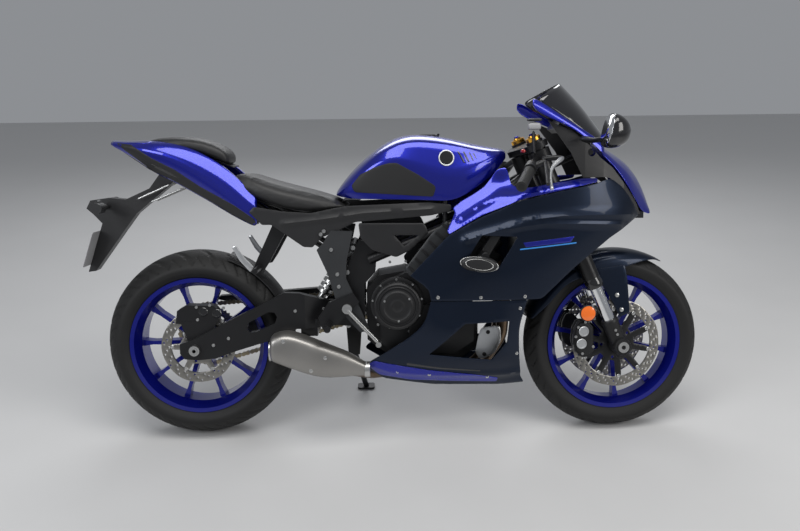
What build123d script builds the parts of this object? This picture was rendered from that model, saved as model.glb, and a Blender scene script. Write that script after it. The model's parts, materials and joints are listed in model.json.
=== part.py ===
from build123d import *
from math import acos, atan2, cos, degrees, radians, sin, tan
import os

# Sport motorcycle, in millimetres. Every piece is drawn on the upright bike: X forward from the rear axle,
# Y to the bike's left, Z up from the ground. The end of the file stands it on its side stand.

# Driving dimensions
wheelbase = 1395.0
rake = 23.67  # steering axis from upright, degrees
trail = 90.0
lean_angle = 10.5  # parked on the side stand, degrees to the left
steer_angle = 4.0  # parked steering, degrees to the left
seat_gap = 0.3  # left between a piece and its seat
running_gap = 5.0  # left around what moves

rear_radius = 315.0
rear_width = 180.0
front_radius = 300.0
front_width = 120.0
flange_radius = 229.5  # both rims
spoke_count = 10

rear_axle_radius = 10.0
rear_axle_bore = 6.0
front_axle_radius = 12.0
front_axle_bore = 7.0
axle_fit = 0.05

chain_y = 108.0
chain_pitch = 15.875
rear_teeth = 42
front_teeth = 16
front_sprocket = (612.0, 425.0)  # x, z of the output shaft
pivot = (522.0, 415.0)  # x, z of the swingarm pivot
pivot_bolt_radius = 10.0

rear_disc_radius = 122.5
rear_disc_y = 81.0
rear_disc_thickness = 5.0
front_disc_radius = 149.0
front_disc_y = 68.0
front_disc_thickness = 4.5

leg_y = 105.0  # fork legs each side of the middle
tube_radius = 27.0  # upper fork tube
stanchion_radius = 20.5
stanchion_bottom = 96.0  # above the axle, along the leg
stanchion_show = 222.0  # where the upper tube starts
tube_top = 738.0
lower_clamp = (505.0, 540.0)  # bottom and top, along the leg
upper_clamp = (710.0, 730.0)
stem_radius = 15.0
headstock_radius = 31.0

tank_cap_x = 770.0
tank_cap_radius = 38.0
tank_cap_floor = 990.0
tank_floor = 794.0
cap_knuckle_radius = 4.0

shock_eye_half = 14.0
stay_z = 940.0  # front stay that carries the nose
stay_half = 108.0
bracket_y = 90.0  # lugs that carry the pillion's pegs

# Sizes that follow
fork_offset = front_radius * sin(radians(rake)) - trail * cos(radians(rake))
axis_foot = (wheelbase + trail, 0, 0)
axis_up = (-sin(radians(rake)), 0, cos(radians(rake)))
chain_radius_rear = chain_pitch / 2 / sin(radians(180 / rear_teeth))
chain_radius_front = chain_pitch / 2 / sin(radians(180 / front_teeth))

# Fork pieces and the front wheel are drawn from the front axle with Z up the fork legs.
axis_ahead = (cos(radians(rake)), 0, sin(radians(rake)))
fork_plane = Plane((wheelbase, 0, front_radius), x_dir=axis_ahead, z_dir=axis_up)


def plate(points, near, far, corner=0.0, mode=Mode.ADD):
    """Flat piece with an outline of (x, z) points, from near to far to the right of the middle."""
    with BuildSketch(Plane.XZ.offset(near)) as outline:
        with BuildLine():
            Polyline(*points, close=True)
        make_face()
        if corner:
            fillet(outline.vertices(), corner)
    extrude(outline.sketch, amount=far - near, mode=mode)


def cross_disc(x, z, radius, near, far, mode=Mode.ADD):
    """Round piece across the bike, from near to far to the right of the middle."""
    with BuildSketch(Plane.XZ.offset(near)) as outline:
        with Locations((x, z)):
            Circle(radius)
    extrude(outline.sketch, amount=far - near, mode=mode)


def rod(start, end, radius, mode=Mode.ADD):
    """Round bar between two points."""
    along = Vector(*end) - Vector(*start)
    with BuildSketch(Plane(start, z_dir=along)) as section:
        Circle(radius)
    extrude(section.sketch, amount=along.length, mode=mode)


def raised(points, height):
    """Outline points (x, z) given from a height, such as an axle's."""
    return [(x, z + height) for x, z in points]


def span_of(side, near, far):
    """Span between two distances from the middle, on the right (1) or the left (-1)."""
    return sorted((side * near, side * far))


def both_sides(near, far):
    """The right and left spans between two distances from the middle."""
    return span_of(1, near, far), span_of(-1, near, far)


def inset(points, thickness):
    """Section points (y, z), moved inwards by a wall's thickness."""
    moved = []
    for place, (y, z) in enumerate(points):
        before = points[max(place - 1, 0)]
        after = points[min(place + 1, len(points) - 1)]
        along = Vector(after[0] - before[0], after[1] - before[1]).normalized()
        moved.append((y + thickness * along.Y if y else 0, z - thickness * along.X))
    return moved


def wall(stations, thickness, mode=Mode.ADD):
    """Panel on the left side ruled through rows of x and the outer (y, z) points from top to bottom."""
    sections = []
    for x, *outer in stations:
        with BuildSketch(Plane.YZ.offset(x)) as section:
            with BuildLine():
                Polyline(*outer, *reversed(inset(outer, thickness)), close=True)
            make_face()
        sections.append(section.sketch)
    loft(sections, ruled=True, mode=mode)


def wall_y(stations, x, z):
    """How far out a ruled panel stands at one place, seen from the side."""
    for (x_low, *low), (x_high, *high) in zip(stations, stations[1:]):
        if x_low <= x <= x_high:
            share = (x - x_low) / (x_high - x_low)
            points = [(a[0] + (b[0] - a[0]) * share, a[1] + (b[1] - a[1]) * share) for a, b in zip(low, high)]
            for (y_top, z_top), (y_foot, z_foot) in zip(points, points[1:]):
                if z_foot <= z <= z_top:
                    return y_foot + (y_top - y_foot) * (z - z_foot) / (z_top - z_foot)
    raise ValueError(f"no panel at {x}, {z}")


def boss(stations, x, z, seat_y, radius, sink=2.0):
    """Peg inside a panel, from its wall to what carries it."""
    rod((x, seat_y + seat_gap, z), (x, wall_y(stations, x, z) - sink, z), radius)


def outline_trim(points, reach=400.0, corner=0.0):
    """Keep only what lies inside an outline of (x, z) points, seen from the side."""
    plate(points, -reach, reach, corner=corner, mode=Mode.INTERSECT)


def bent_tube(points, bends, radius, bore=0.0):
    """Tube along straight runs joined by arcs, with one bend radius for each corner."""
    with BuildLine() as path:
        FilletPolyline(*points, radius=bends)
    with BuildSketch(path.line ^ 0) as section:
        Circle(radius)
        if bore:
            Circle(bore, mode=Mode.SUBTRACT)
    sweep(section.sketch, path=path.line)


def tyre_section(radius, width):
    """Cross-section of a tyre, hollow, from bead to bead."""
    half = width / 2
    bead = flange_radius + seat_gap
    rim_half = half * 0.8
    tread = 11.0
    with BuildSketch(Plane.YZ) as section:
        with BuildLine():
            ThreePointArc((-half * 0.97, radius - half * 0.52), (0, radius), (half * 0.97, radius - half * 0.52))
            ThreePointArc((half * 0.97, radius - half * 0.52), (half, radius - half * 0.66), (rim_half, bead))
            Line((rim_half, bead), (rim_half - 8, bead))
            Line((rim_half - 8, bead), (half - tread, radius - half * 0.64))
            ThreePointArc((half - tread, radius - half * 0.64), (0, radius - tread), (tread - half, radius - half * 0.64))
            Line((tread - half, radius - half * 0.64), (8 - rim_half, bead))
            Line((8 - rim_half, bead), (-rim_half, bead))
            ThreePointArc((-rim_half, bead), (-half, radius - half * 0.66), (-half * 0.97, radius - half * 0.52))
        make_face()
    return section.sketch


def cast_wheel(flange_y, hub, spoke_half, barrel_drop):
    """Rim, spokes and hub about Y. hub holds rows of left y, right y and radius."""
    rim_inner = flange_radius - 22
    with BuildSketch(Plane.YZ) as rim:
        with BuildLine():
            Polyline(
                (-flange_y, flange_radius),
                (-flange_y + 8, flange_radius),
                (-flange_y + 12, flange_radius - 12),
                (-barrel_drop, rim_inner),
                (barrel_drop, rim_inner),
                (flange_y - 12, flange_radius - 12),
                (flange_y - 8, flange_radius),
                (flange_y, flange_radius),
                (flange_y, flange_radius - 14),
                (barrel_drop, rim_inner - 9),
                (-barrel_drop, rim_inner - 9),
                (-flange_y, flange_radius - 14),
                close=True,
            )
        make_face()
    revolve(rim.sketch, axis=Axis.Y)
    for left, right, radius in hub:
        cross_disc(0, 0, radius, -left, right)
    hub_radius = hub[0][2]
    for turn in range(spoke_count):
        angle = 360 / spoke_count * turn
        spoke_plane = Plane.XZ.rotated((0, angle, 0))
        with BuildSketch(spoke_plane.offset(-spoke_half)) as spoke:
            with BuildLine():
                Polyline(
                    (hub_radius - 6, -9),
                    (rim_inner - 40, -6),
                    (rim_inner - 3, -11),
                    (rim_inner - 3, 11),
                    (rim_inner - 40, 6),
                    (hub_radius - 6, 9),
                    close=True,
                )
            make_face()
        extrude(spoke.sketch, amount=2 * spoke_half)


# Rear wheel, drawn about its own axle and lifted to its place
rear_lift = Pos(0, 0, rear_radius)
rear_hub_rows = [(62.0, 62.0, 40.0), (100.0, 62.0, 34.0), (62.0, 78.2, 52.0)]

with BuildPart() as rear_rim:
    cast_wheel(76.0, rear_hub_rows, 20.0, 40.0)
    cross_disc(0, 0, rear_axle_radius + axle_fit, -120, 120, mode=Mode.SUBTRACT)

with BuildPart() as rear_tyre:
    revolve(tyre_section(rear_radius, rear_width), axis=Axis.Y)

with BuildPart() as rear_disc:
    disc_near = rear_disc_y - rear_disc_thickness / 2
    disc_far = rear_disc_y + rear_disc_thickness / 2
    cross_disc(0, 0, rear_disc_radius, disc_near, disc_far)
    cross_disc(0, 0, rear_disc_radius - 34, disc_near, disc_far, mode=Mode.SUBTRACT)
    cross_disc(0, 0, 62, disc_near, disc_far)
    cross_disc(0, 0, 30, disc_near, disc_far, mode=Mode.SUBTRACT)
    for turn in range(6):
        with BuildSketch(Plane.XZ.offset(disc_near).rotated((0, 60 * turn, 0))) as arm:
            with Locations((74, 0)):
                Rectangle(36, 14)
        extrude(arm.sketch, amount=rear_disc_thickness)

with BuildPart() as rear_sprocket:
    tooth_top = chain_radius_rear - 6.2  # inside the chain's rollers, which don't turn
    tooth_root = tooth_top - 5.0
    tooth_step = 360 / rear_teeth
    teeth = []
    for tooth in range(rear_teeth):
        for radius, share in ((tooth_root, 0.0), (tooth_top, 0.3), (tooth_top, 0.5), (tooth_root, 0.8)):
            angle = radians((tooth + share) * tooth_step)
            teeth.append((radius * cos(angle), radius * sin(angle)))
    plate(teeth, -chain_y - 2.75, -chain_y + 2.75)
    for turn in range(6):
        with BuildSketch(Plane.XZ.offset(-chain_y - 4).rotated((0, 60 * turn, 0))) as window:
            with Locations((66, 0)):
                SlotOverall(34, 13, rotation=90)
        extrude(window.sketch, amount=8, mode=Mode.SUBTRACT)
    cross_disc(0, 0, 52, -chain_y + 2.75, -62.3)
    cross_disc(0, 0, 34.3, -chain_y - 2.75, 0, mode=Mode.SUBTRACT)

# Swingarm, with its arms cut from their side outlines and from their plan
right_arm_y = 128.0  # outer face at the axle
left_arm_y = 147.0
arm_end = raised([(-36, -31), (-50, -13), (-50, 19), (-2, 35)], rear_radius)
bridge_x = rear_radius + 30  # clear of the tyre
bridge_top = 408.0
with BuildPart() as swingarm:
    plate(
        arm_end + [(132, 419), (295, 500), (345, 498), (430, 468), (552, 446), (552, 384), (470, 380), (335, 380),
                   (255, 345), (127, 307)] + raised([(65, -30), (8, -35)], rear_radius),
        40, 140,
    )
    with BuildSketch(Plane.XY.offset(200)) as right_plan:
        with BuildLine():
            Polyline((-60, -103), (350, -103), (440, -55), (560, -55), (560, -80), (452, -80), (362, -right_arm_y),
                     (-60, -right_arm_y), close=True)
        make_face()
    extrude(right_plan.sketch, amount=400, mode=Mode.INTERSECT)
    plate(
        [(182, 370), (170, 384), (176, 402), (241, 437), (262, 436), (270, 421), (263, 400), (200, 372)],
        90, 140, corner=5, mode=Mode.SUBTRACT,
    )

with BuildPart() as left_arm:
    plate(
        arm_end + [(330, 400), (400, 406), (552, 446), (552, 384), (400, 350), (330, 336), (60, rear_radius - 31)],
        -160, -50,
    )
    with BuildSketch(Plane.XY.offset(200)) as left_plan:
        with BuildLine():
            Polyline((-60, 125), (200, 125), (400, 60), (560, 60), (560, 80), (412, 80), (215, left_arm_y),
                     (-60, left_arm_y), close=True)
        make_face()
    extrude(left_plan.sketch, amount=400, mode=Mode.INTERSECT)

with swingarm:
    add(left_arm.part)
    plate([(bridge_x, 352), (bridge_x, bridge_top), (400, bridge_top), (400, 352)], -80, 112)
    cross_disc(*pivot, 31, -80, 80)
    for span in both_sides(shock_eye_half + seat_gap, shock_eye_half + 10):
        plate([(366, 400), (366, 432), (376, 446), (396, 446), (404, 432), (404, 390)], *span)
    cross_disc(*pivot, pivot_bolt_radius + seat_gap, -100, 100, mode=Mode.SUBTRACT)
    cross_disc(0, rear_radius, rear_axle_radius + seat_gap, -160, 160, mode=Mode.SUBTRACT)

with BuildPart() as rear_axle:
    cross_disc(0, rear_radius, rear_axle_radius, -166, 148)
    cross_disc(0, rear_radius, 17, -165, -147 - seat_gap)
    cross_disc(0, rear_radius, 17, 128 + seat_gap, 146)
    cross_disc(0, rear_radius, 16, -125 + seat_gap, -100.5)
    cross_disc(0, rear_radius, 16, 78.7, 86 - seat_gap)
    cross_disc(0, rear_radius, rear_axle_bore, -170, 170, mode=Mode.SUBTRACT)

# Rear brake: a bracket between the arm and the disc, and the caliper over the disc's top
caliper_slot = rear_disc_thickness / 2 + running_gap
with BuildPart() as rear_caliper:
    plate(raised([(-22, -15), (-26, 15), (-52, 90), (70, 90), (40, 25), (20, -17)], rear_radius),
          86, 103 - seat_gap)
    plate(raised([(-66, 83), (-60, 125), (-30, 143), (60, 141), (76, 121), (74, 85), (30, 77), (-30, 77)], rear_radius),
          60, 102 - seat_gap)
    plate(raised([(-70, 65), (-70, 130), (80, 130), (80, 65)], rear_radius),
          rear_disc_y - caliper_slot, rear_disc_y + caliper_slot, mode=Mode.SUBTRACT)
    cross_disc(0, rear_radius, rear_axle_radius + seat_gap, 80, 110, mode=Mode.SUBTRACT)


# Chain: one fixed loop around both sprockets, with its two rows of plates outside a narrower middle
def loop_face(grow, near):
    """Tangent loop round both sprockets at the chain's pitch line, grown by an offset."""
    with BuildSketch(Plane.XZ.offset(near)) as face:
        with BuildLine():
            CenterArc((0, rear_radius), chain_radius_rear + grow, 0, 360)
            CenterArc(front_sprocket, chain_radius_front + grow, 0, 360)
        make_hull()
    return face.sketch


chain_width = 20.0
plate_half = 7.4  # half the height of a link plate
roller_half = 4.6
inner_width = 7.5
with BuildPart() as chain:
    extrude(loop_face(plate_half, -chain_y - chain_width / 2), amount=chain_width)
    extrude(loop_face(-plate_half, -chain_y - chain_width / 2), amount=chain_width, mode=Mode.SUBTRACT)
    extrude(loop_face(-roller_half, -chain_y - inner_width / 2), amount=inner_width, mode=Mode.SUBTRACT)

# Guard over the chain's upper run, and the mudguard that follows the tyre down to the swingarm's bridge
hugger_radius = rear_radius + 10
hugger_end = degrees(acos((bridge_top + 2 - rear_radius) / (hugger_radius - 1.5)))
hugger_start = 20.0
with BuildPart() as chain_guard:
    guard_end = raised([(60, 113), (30, 119), (40, 137)], rear_radius)
    plate(guard_end + [(420, 478), (420, 462), (330, 440)], -126, -122)
    plate(raised([(42, 134), (30, 119), (40, 137)], rear_radius) + [(420, 478), (420, 475)], -122, -96)
    with BuildSketch(Plane.YZ) as hugger:
        with BuildLine():
            ThreePointArc((-62, hugger_radius - 19), (0, hugger_radius), (62, hugger_radius - 19))
            Line((62, hugger_radius - 19), (62, hugger_radius - 22))
            ThreePointArc((62, hugger_radius - 22), (0, hugger_radius - 3), (-62, hugger_radius - 22))
            Line((-62, hugger_radius - 22), (-62, hugger_radius - 19))
        make_face()
    revolve(Pos(0, 0, rear_radius) * hugger.sketch.rotate(Axis.Y, hugger_start),
            axis=Axis((0, 0, rear_radius), (0, 1, 0)), revolution_arc=hugger_end - hugger_start + 1)
    hugger_foot = (hugger_radius - 1.5) * sin(radians(hugger_end)) - 3
    bridge_seat = bridge_top + seat_gap
    plate([(hugger_foot, bridge_seat), (hugger_foot, 412), (362, 412), (362, bridge_seat)], -50, 50)
    plate([(336, bridge_seat), (336, 412), (362, 412), (362, bridge_seat)], -126, -50)
    plate([(336, bridge_seat), (336, 456), (362, 458), (362, bridge_seat)], -126, -122)

# Engine
cylinder_tilt = 36.0  # forward from upright, degrees
cylinder_base = (842.0, 508.0)  # x, z of the middle of the cylinder seat
tilt_cos = cos(radians(cylinder_tilt))
tilt_sin = sin(radians(cylinder_tilt))
seat_back = (cylinder_base[0] - 82 * tilt_cos, cylinder_base[1] + 82 * tilt_sin)
seat_front = (cylinder_base[0] + 88 * tilt_cos, cylinder_base[1] - 88 * tilt_sin)
case_core = 80.0  # half width between the pivot plates
case_left = 92.0  # beside the output sprocket
case_right = 122.0
with BuildPart() as crankcase:
    plate(
        [(562, 330), (562, 500), (600, 545), (690, 560), seat_back, seat_front, (930, 400), (930, 300),
         (880, 268), (850, 240), (690, 240), (640, 272), (600, 300)],
        -case_core, case_core, corner=6,
    )
    plate(
        [(606, 330), (606, 520), (690, 560), seat_back, seat_front, (912, 330), (850, 290), (650, 290)],
        case_core - 1, case_right, corner=6,
    )
    plate([(606, 330), (606, 520), (690, 560), (720, 555), (720, 290), (650, 290)], -case_left, 1 - case_core, corner=6)
    plate([(676, 330), (676, 500), (720, 545), seat_back, seat_front, (912, 330), (850, 290), (700, 290)],
          -case_right, 1 - case_core, corner=6)

clutch_centre = (662.0, 462.0)
generator_centre = (792.0, 418.0)
# Covers: radius at the seat, radius at the face and how far each stands out
with BuildPart() as engine_covers:
    cross_disc(*clutch_centre, 86, case_right + seat_gap, 146)
    cross_disc(*clutch_centre, 74, 146, 188)
    cross_disc(*clutch_centre, 48, 188, 196)
    plate([(700, 330), (700, 440), (800, 470), (860, 420), (860, 350), (800, 320)], case_right + seat_gap, 140,
          corner=12)
    cross_disc(*generator_centre, 80, -146, -case_right - seat_gap)
    cross_disc(*generator_centre, 66, -166, -146)
    plate([(586, 372), (586, 474), (625, 484), (672, 470), (674, 372), (620, 356)], -142, -126, corner=12)
    plate([(662, 380), (662, 470), (674, 470), (674, 380)], -127, -case_left - seat_gap)


def along_cylinder(length, width, back, front, depth):
    """Block across the bike on the leaning cylinder axis, between two distances from its seat."""
    x = cylinder_base[0] + back * tilt_sin
    z = cylinder_base[1] + back * tilt_cos
    with BuildSketch(Plane((x, 0, z), x_dir=(tilt_cos, 0, -tilt_sin), z_dir=(tilt_sin, 0, tilt_cos))) as block:
        with Locations((length, 0)):
            RectangleRounded(depth, width, 14)
    extrude(block.sketch, amount=front - back)


with BuildPart() as cylinders:
    along_cylinder(0, 190, seat_gap, 104, 128)
    along_cylinder(4, 206, 104, 176, 150)
    along_cylinder(-4, 190, 176, 214, 120)
    for fin in range(5):
        along_cylinder(0, 204, 14 + 18 * fin, 20 + 18 * fin, 142)

# Exhaust: two pipes down the front of the engine, one pipe under it and the muffler on the right
pipe_radius = 20.0
muffler_y = 172.0
port_y = 46.0
port_out = 79 + seat_gap  # from the cylinder axis to the front of the head
port_up = 140.0  # from the cylinder's seat
port_x = cylinder_base[0] + port_up * tilt_sin + port_out * tilt_cos
port_z = cylinder_base[1] + port_up * tilt_cos - port_out * tilt_sin
first_leg = 50.0
with BuildPart() as exhaust_header:
    for side in (-1, 1):
        bent_tube(
            [(port_x, side * port_y, port_z),
             (port_x + first_leg * tilt_cos, side * port_y, port_z - first_leg * tilt_sin),
             (1014, side * port_y, 330), (930, side * 36, 204), (820, side * 24 - 10, 204)],
            [26, 90, 80], pipe_radius,
        )
    rod((832, -10, 204), (700, -10, 204), 27)
    bent_tube([(710, -10, 204), (640, -14, 204), (575, -66, 212), (494, -148, 249)], [70, 60], pipe_radius)

with BuildPart() as muffler:
    with BuildSketch(Plane((482, -156, 258), x_dir=(0.29, 0, 0.957), z_dir=(-0.957, 0, 0.29))) as nose_end:
        RectangleRounded(62, 54, 16)
    with BuildSketch(Plane((445, -162, 272), x_dir=(0.29, 0, 0.957), z_dir=(-0.957, 0, 0.29))) as shoulder:
        RectangleRounded(82, 66, 20)
    with BuildSketch(Plane((262, -muffler_y, 328), x_dir=(0.15, 0, 0.989), z_dir=(-0.957, 0, 0.29))) as tail_end:
        RectangleRounded(104, 76, 26)
    loft([nose_end.sketch, shoulder.sketch, tail_end.sketch], ruled=True)
    rod((290, -muffler_y, 300), (246, -muffler_y, 304), 19)
    rod((262, -muffler_y, 302), (240, -muffler_y, 305), 15, mode=Mode.SUBTRACT)

with BuildPart() as radiator:
    with BuildSketch(Plane((1086, 0, 568), x_dir=(0, 1, 0), z_dir=(-0.995, 0, 0.1))) as core:
        Rectangle(330, 250)
    extrude(core.sketch, amount=24)
    for side in (-1, 1):
        rod((1086, side * 48, 685), (1086, side * 48, 740 - seat_gap), 8)

# Frame: headstock, four spars, the pivot plates and the cross tubes
head_bottom = lower_clamp[1] + running_gap + seat_gap  # along the leg, from the axle
head_top = upper_clamp[0] - running_gap
axle_along = front_radius / cos(radians(rake)) - fork_offset * tan(radians(rake))
head_low = Vector(axis_foot) + Vector(axis_up) * (axle_along + head_bottom)
head_high = head_low + Vector(axis_up) * (head_top - head_bottom)
pivot_plate_y = 82.0
pivot_plate_thickness = 13.0
brace_y = 126.0
brace_thickness = 12.0
with BuildPart() as main_frame:
    for side in (-1, 1):
        rod((1098, side * 24, 868), (905, side * 126, 742), 16)
        rod((905, side * 126, 742), (572, side * 94, 600), 16)
        rod((1122, side * 24, 812), (962, side * 130, 668), 14)
        rod((962, side * 130, 668), (905, side * 126, 742), 12)
        plate([(468, 384), (476, 520), (540, 668), (600, 640), (592, 560), (556, 520), (556, 376)],
              *span_of(side, pivot_plate_y, pivot_plate_y + pivot_plate_thickness))
        rod((1086, side * 48, 740), (1086, side * 48, 778), 8)
        rod((820, side * 116, 706), (820, side * 116, tank_floor - seat_gap), 8)
        cross_disc(1010, 711, 8, *span_of(side, 98, 130))
        cross_disc(980, 791, 8, *span_of(side, 86, 130))
        cross_disc(502, 640, 13, *span_of(side, pivot_plate_y, brace_y - seat_gap))
        cross_disc(*pivot, 17, *span_of(side, pivot_plate_y, brace_y - seat_gap))
    rod((520, -90, 640), (520, 90, 640), 14)
    cross_disc(*pivot, pivot_bolt_radius, -brace_y - 16, brace_y + 16)
    plate([(480, 410), (545, 410), (530, 236), (490, 236)], -pivot_plate_y - pivot_plate_thickness, -pivot_plate_y)
    rod(head_low, head_high, headstock_radius)
    rod(head_low - Vector(axis_up) * 5, head_high + Vector(axis_up) * 5, stem_radius + axle_fit, mode=Mode.SUBTRACT)
    for side in (-1, 1):
        rod((1126, side * 20, 868), (1290, side * 20, stay_z), 7)
        rod((1290, side * 20, stay_z), (1270.6, side * 20, 1000.8), 7)
        rod((1275, side * 20, 997.5), (1222.84, side * 20, 1036.6), 7)
    for span in both_sides(stay_half - 6, stay_half):
        plate([(1260, 930), (1260, 998), (1276, 998), (1290, 952), (1290, 930)], *span)
    rod((1290, -stay_half, stay_z), (1290, stay_half, stay_z), 7)

with BuildPart() as frame_braces:
    plate([(452, 702), (522, 698), (500, 600), (498, 545), (545, 440), (572, 372), (540, 368), (508, 404),
           (470, 450), (440, 560), (405, 640), (425, 660)],
          brace_y, brace_y + brace_thickness, corner=3)
    cross_disc(*pivot, pivot_bolt_radius + seat_gap, 100, 150, mode=Mode.SUBTRACT)
    mirror(about=Plane.XZ)

# Seats, from rows of x, top z, half width and bottom z
rider_rows = [(160, 905, 84, 866), (250, 862, 122, 812), (390, 832, 112, 772), (484, 832, 66, 786)]
pillion_rows = [(-154, 998, 58, 974), (-40, 1004, 88, 962), (60, 990, 92, 936), (134, 944, 84, 908)]


def tray(floor, half, depth=4.0):
    """Sheet under a seat, along its (x, z) floor."""
    top = [(x, z - seat_gap) for x, z in floor]
    plate(top + [(x, z - depth) for x, z in reversed(top)], -half, half)


with BuildPart() as subframe:
    for side in (-1, 1):
        rod((506, side * 70, 668), (376, side * 70, 754), 11)
        rod((380, side * 70, 750), (60, side * 62, 852), 11)
        rod((498, side * 70, 590), (150, side * 68, 824), 9)
        rod((250, side * 50, 790), (250, side * 50, 807), 7)
        rod((70, side * 50, 850), (70, side * 50, 928), 7)
        cross_disc(400, 742, 8, *span_of(side, 66, 128 - seat_gap))
        cross_disc(200, 814, 7, *span_of(side, 62, 92))
        cross_disc(286, 734, 12, *span_of(side, 62, bracket_y))
        cross_disc(520, 588, 20, *span_of(side, 64, pivot_plate_y - seat_gap))
        rod((490, side * 70, 598), (494, side * 70, 672), 9)
    rod((378, -70, 752), (378, 70, 752), 9)
    rod((250, -70, 788), (250, 70, 788), 8)
    rod((70, -80, 850), (70, 80, 850), 8)
    tray([(x, bottom) for x, top, half, bottom in rider_rows] + [(489, tank_floor), (545, tank_floor)], 60)
    tray([(x, bottom) for x, top, half, bottom in pillion_rows], 54)

shock_low = (385.0, 430.0)
shock_high = (504.0, 615.0)
with BuildPart() as rear_shock:
    shock_along = Vector(shock_high[0] - shock_low[0], 0, shock_high[1] - shock_low[1])
    cross_disc(*shock_low, 12, -shock_eye_half, shock_eye_half)
    cross_disc(*shock_high, 15.3, -shock_eye_half, shock_eye_half)
    rod((shock_low[0], 0, shock_low[1]), (shock_high[0], 0, shock_high[1]), 13)
    for coil in range(7):
        coil_start = Vector(shock_low[0], 0, shock_low[1]) + shock_along * (0.26 + 0.085 * coil)
        rod(coil_start, coil_start + shock_along * 0.045, 27)

# Tank, from rows of x, top z, shoulder y and z, and foot y and z
tank_rows = [
    (487, 826, 62, 800, 72, 792),
    (575, 940, 108, 898, 122, 794),
    (700, 1001, 128, 968, 142, 794),
    (850, 994, 140, 955, 148, 794),
    (960, 974, 110, 950, 118, 862),
    (1022, 955, 64, 947, 70, 922),
]
with BuildPart() as fuel_tank:
    tank_sections = []
    for x, top, shoulder_y, shoulder_z, foot_y, foot_z in tank_rows:
        with BuildSketch(Plane.YZ.offset(x)) as section:
            with BuildLine():
                Line((-foot_y, foot_z), (foot_y, foot_z))
                Line((foot_y, foot_z), (shoulder_y, shoulder_z))
                ThreePointArc((shoulder_y, shoulder_z), (0, top), (-shoulder_y, shoulder_z))
                Line((-shoulder_y, shoulder_z), (-foot_y, foot_z))
            make_face()
        tank_sections.append(section.sketch)
    loft(tank_sections)
    plate([(400, tank_floor), (400, 1100), (1100, 1100), (1100, tank_floor)], -200, 200, mode=Mode.INTERSECT)
    with BuildSketch(Plane.XY.offset(tank_cap_floor)) as cap_pocket:
        with Locations((tank_cap_x, 0)):
            Circle(tank_cap_radius + running_gap)
    extrude(cap_pocket.sketch, amount=60, mode=Mode.SUBTRACT)
    with BuildSketch(Plane.XY.offset(tank_cap_floor - 60)) as filler:
        with Locations((tank_cap_x, 0)):
            Circle(22)
    extrude(filler.sketch, amount=70, mode=Mode.SUBTRACT)

cap_hinge = (tank_cap_x + tank_cap_radius - 2, tank_cap_floor + 12)  # x, z
with BuildPart() as fuel_cap:
    with BuildSketch(Plane.XY.offset(tank_cap_floor + seat_gap)) as cap_face:
        with Locations((tank_cap_x, 0)):
            Circle(tank_cap_radius)
    extrude(cap_face.sketch, amount=10)
    with BuildSketch(Plane.XY.offset(tank_cap_floor + 6)) as cap_lock:
        with Locations((tank_cap_x, 0)):
            Circle(26)
    extrude(cap_lock.sketch, amount=7)
    cross_disc(*cap_hinge, cap_knuckle_radius, -9, 9)

def cushion(rows, crown):
    """Soft pad ruled along the bike, with a rounded top."""
    sections = []
    for x, top, half, bottom in rows:
        with BuildSketch(Plane.YZ.offset(x)) as section:
            with BuildLine():
                Line((-half, bottom), (half, bottom))
                Line((half, bottom), (half, top - crown))
                ThreePointArc((half, top - crown), (0, top), (-half, top - crown))
                Line((-half, top - crown), (-half, bottom))
            make_face()
        sections.append(section.sketch)
    loft(sections, ruled=True)


with BuildPart() as rider_seat:
    cushion(rider_rows, 14)

with BuildPart() as pillion_seat:
    cushion(pillion_rows, 10)

# Tail: side panels either side of the subframe
tail_rows = [
    (-264, (44, 996), (50, 989), (44, 980)),
    (-130, (92, 984), (104, 940), (84, 884)),
    (30, (98, 956), (118, 900), (92, 806)),
    (216, (98, 870), (124, 790), (112, 706)),
]
with BuildPart() as tail_fairing:
    wall(tail_rows, 3.5)
    outline_trim([(-266, 996), (-138, 990), (60, 955), (141, 902), (216, 812), (216, 712), (104, 765), (-22, 841),
                  (-137, 886), (-166, 925)])
    boss(tail_rows, 200, 814, 92, 6)
    boss(tail_rows, 70, 850, 80, 6)
    boss(tail_rows, 30, 825, 82, 2)
    boss(tail_rows, -126, 903, 74, 2)
    mirror(about=Plane.XZ)

with BuildPart() as tail_underside:
    with BuildSketch(Plane.XZ.offset(-110)) as under:
        with BuildLine():
            Polyline((-240, 968), (-130, 900), (-20, 852), (110, 776), (214, 724), (214, 728), (112, 780), (-18, 857),
                     (-128, 905), (-236, 972), close=True)
        make_face()
    extrude(under.sketch, amount=220)
    with BuildSketch(Plane.XY.offset(600)) as under_plan:
        with BuildLine():
            Polyline((-244, 34), (-130, 74), (30, 82), (214, 92), (214, -92), (30, -82), (-130, -74), (-244, -34), close=True)
        make_face()
    extrude(under_plan.sketch, amount=500, mode=Mode.INTERSECT)

with BuildPart() as tail_light:
    plate([(-256, 984), (-237, 973), (-200, 950.3), (-188, 956), (-214, 984)], -33, 33)

with BuildPart() as plate_hanger:
    plate([(-361, 774), (-347, 800), (-286, 808), (-231, 802), (-150, 838), (-110, 890.8), (-60, 869), (-88, 842),
           (-197, 755), (-241, 699),
           (-343, 565), (-368, 562), (-312, 724), (-338, 753)], -22, 22)
    for side in (-1, 1):
        rod((-290, side * 20, 780), (-290, side * 84, 780), 8)
        rod((-290, side * 84, 780), (-290, side * 130, 780), 17)

plate_tilt = atan2(56, 162)
plate_back = Vector(-cos(plate_tilt), 0, sin(plate_tilt))
with BuildPart() as licence_plate:
    with BuildSketch(Plane(Vector(-340, 0, 643) + plate_back * seat_gap, x_dir=(0, 1, 0), z_dir=plate_back)) as sheet:
        RectangleRounded(180, 120, 8)
    extrude(sheet.sketch, amount=1.5)

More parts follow.
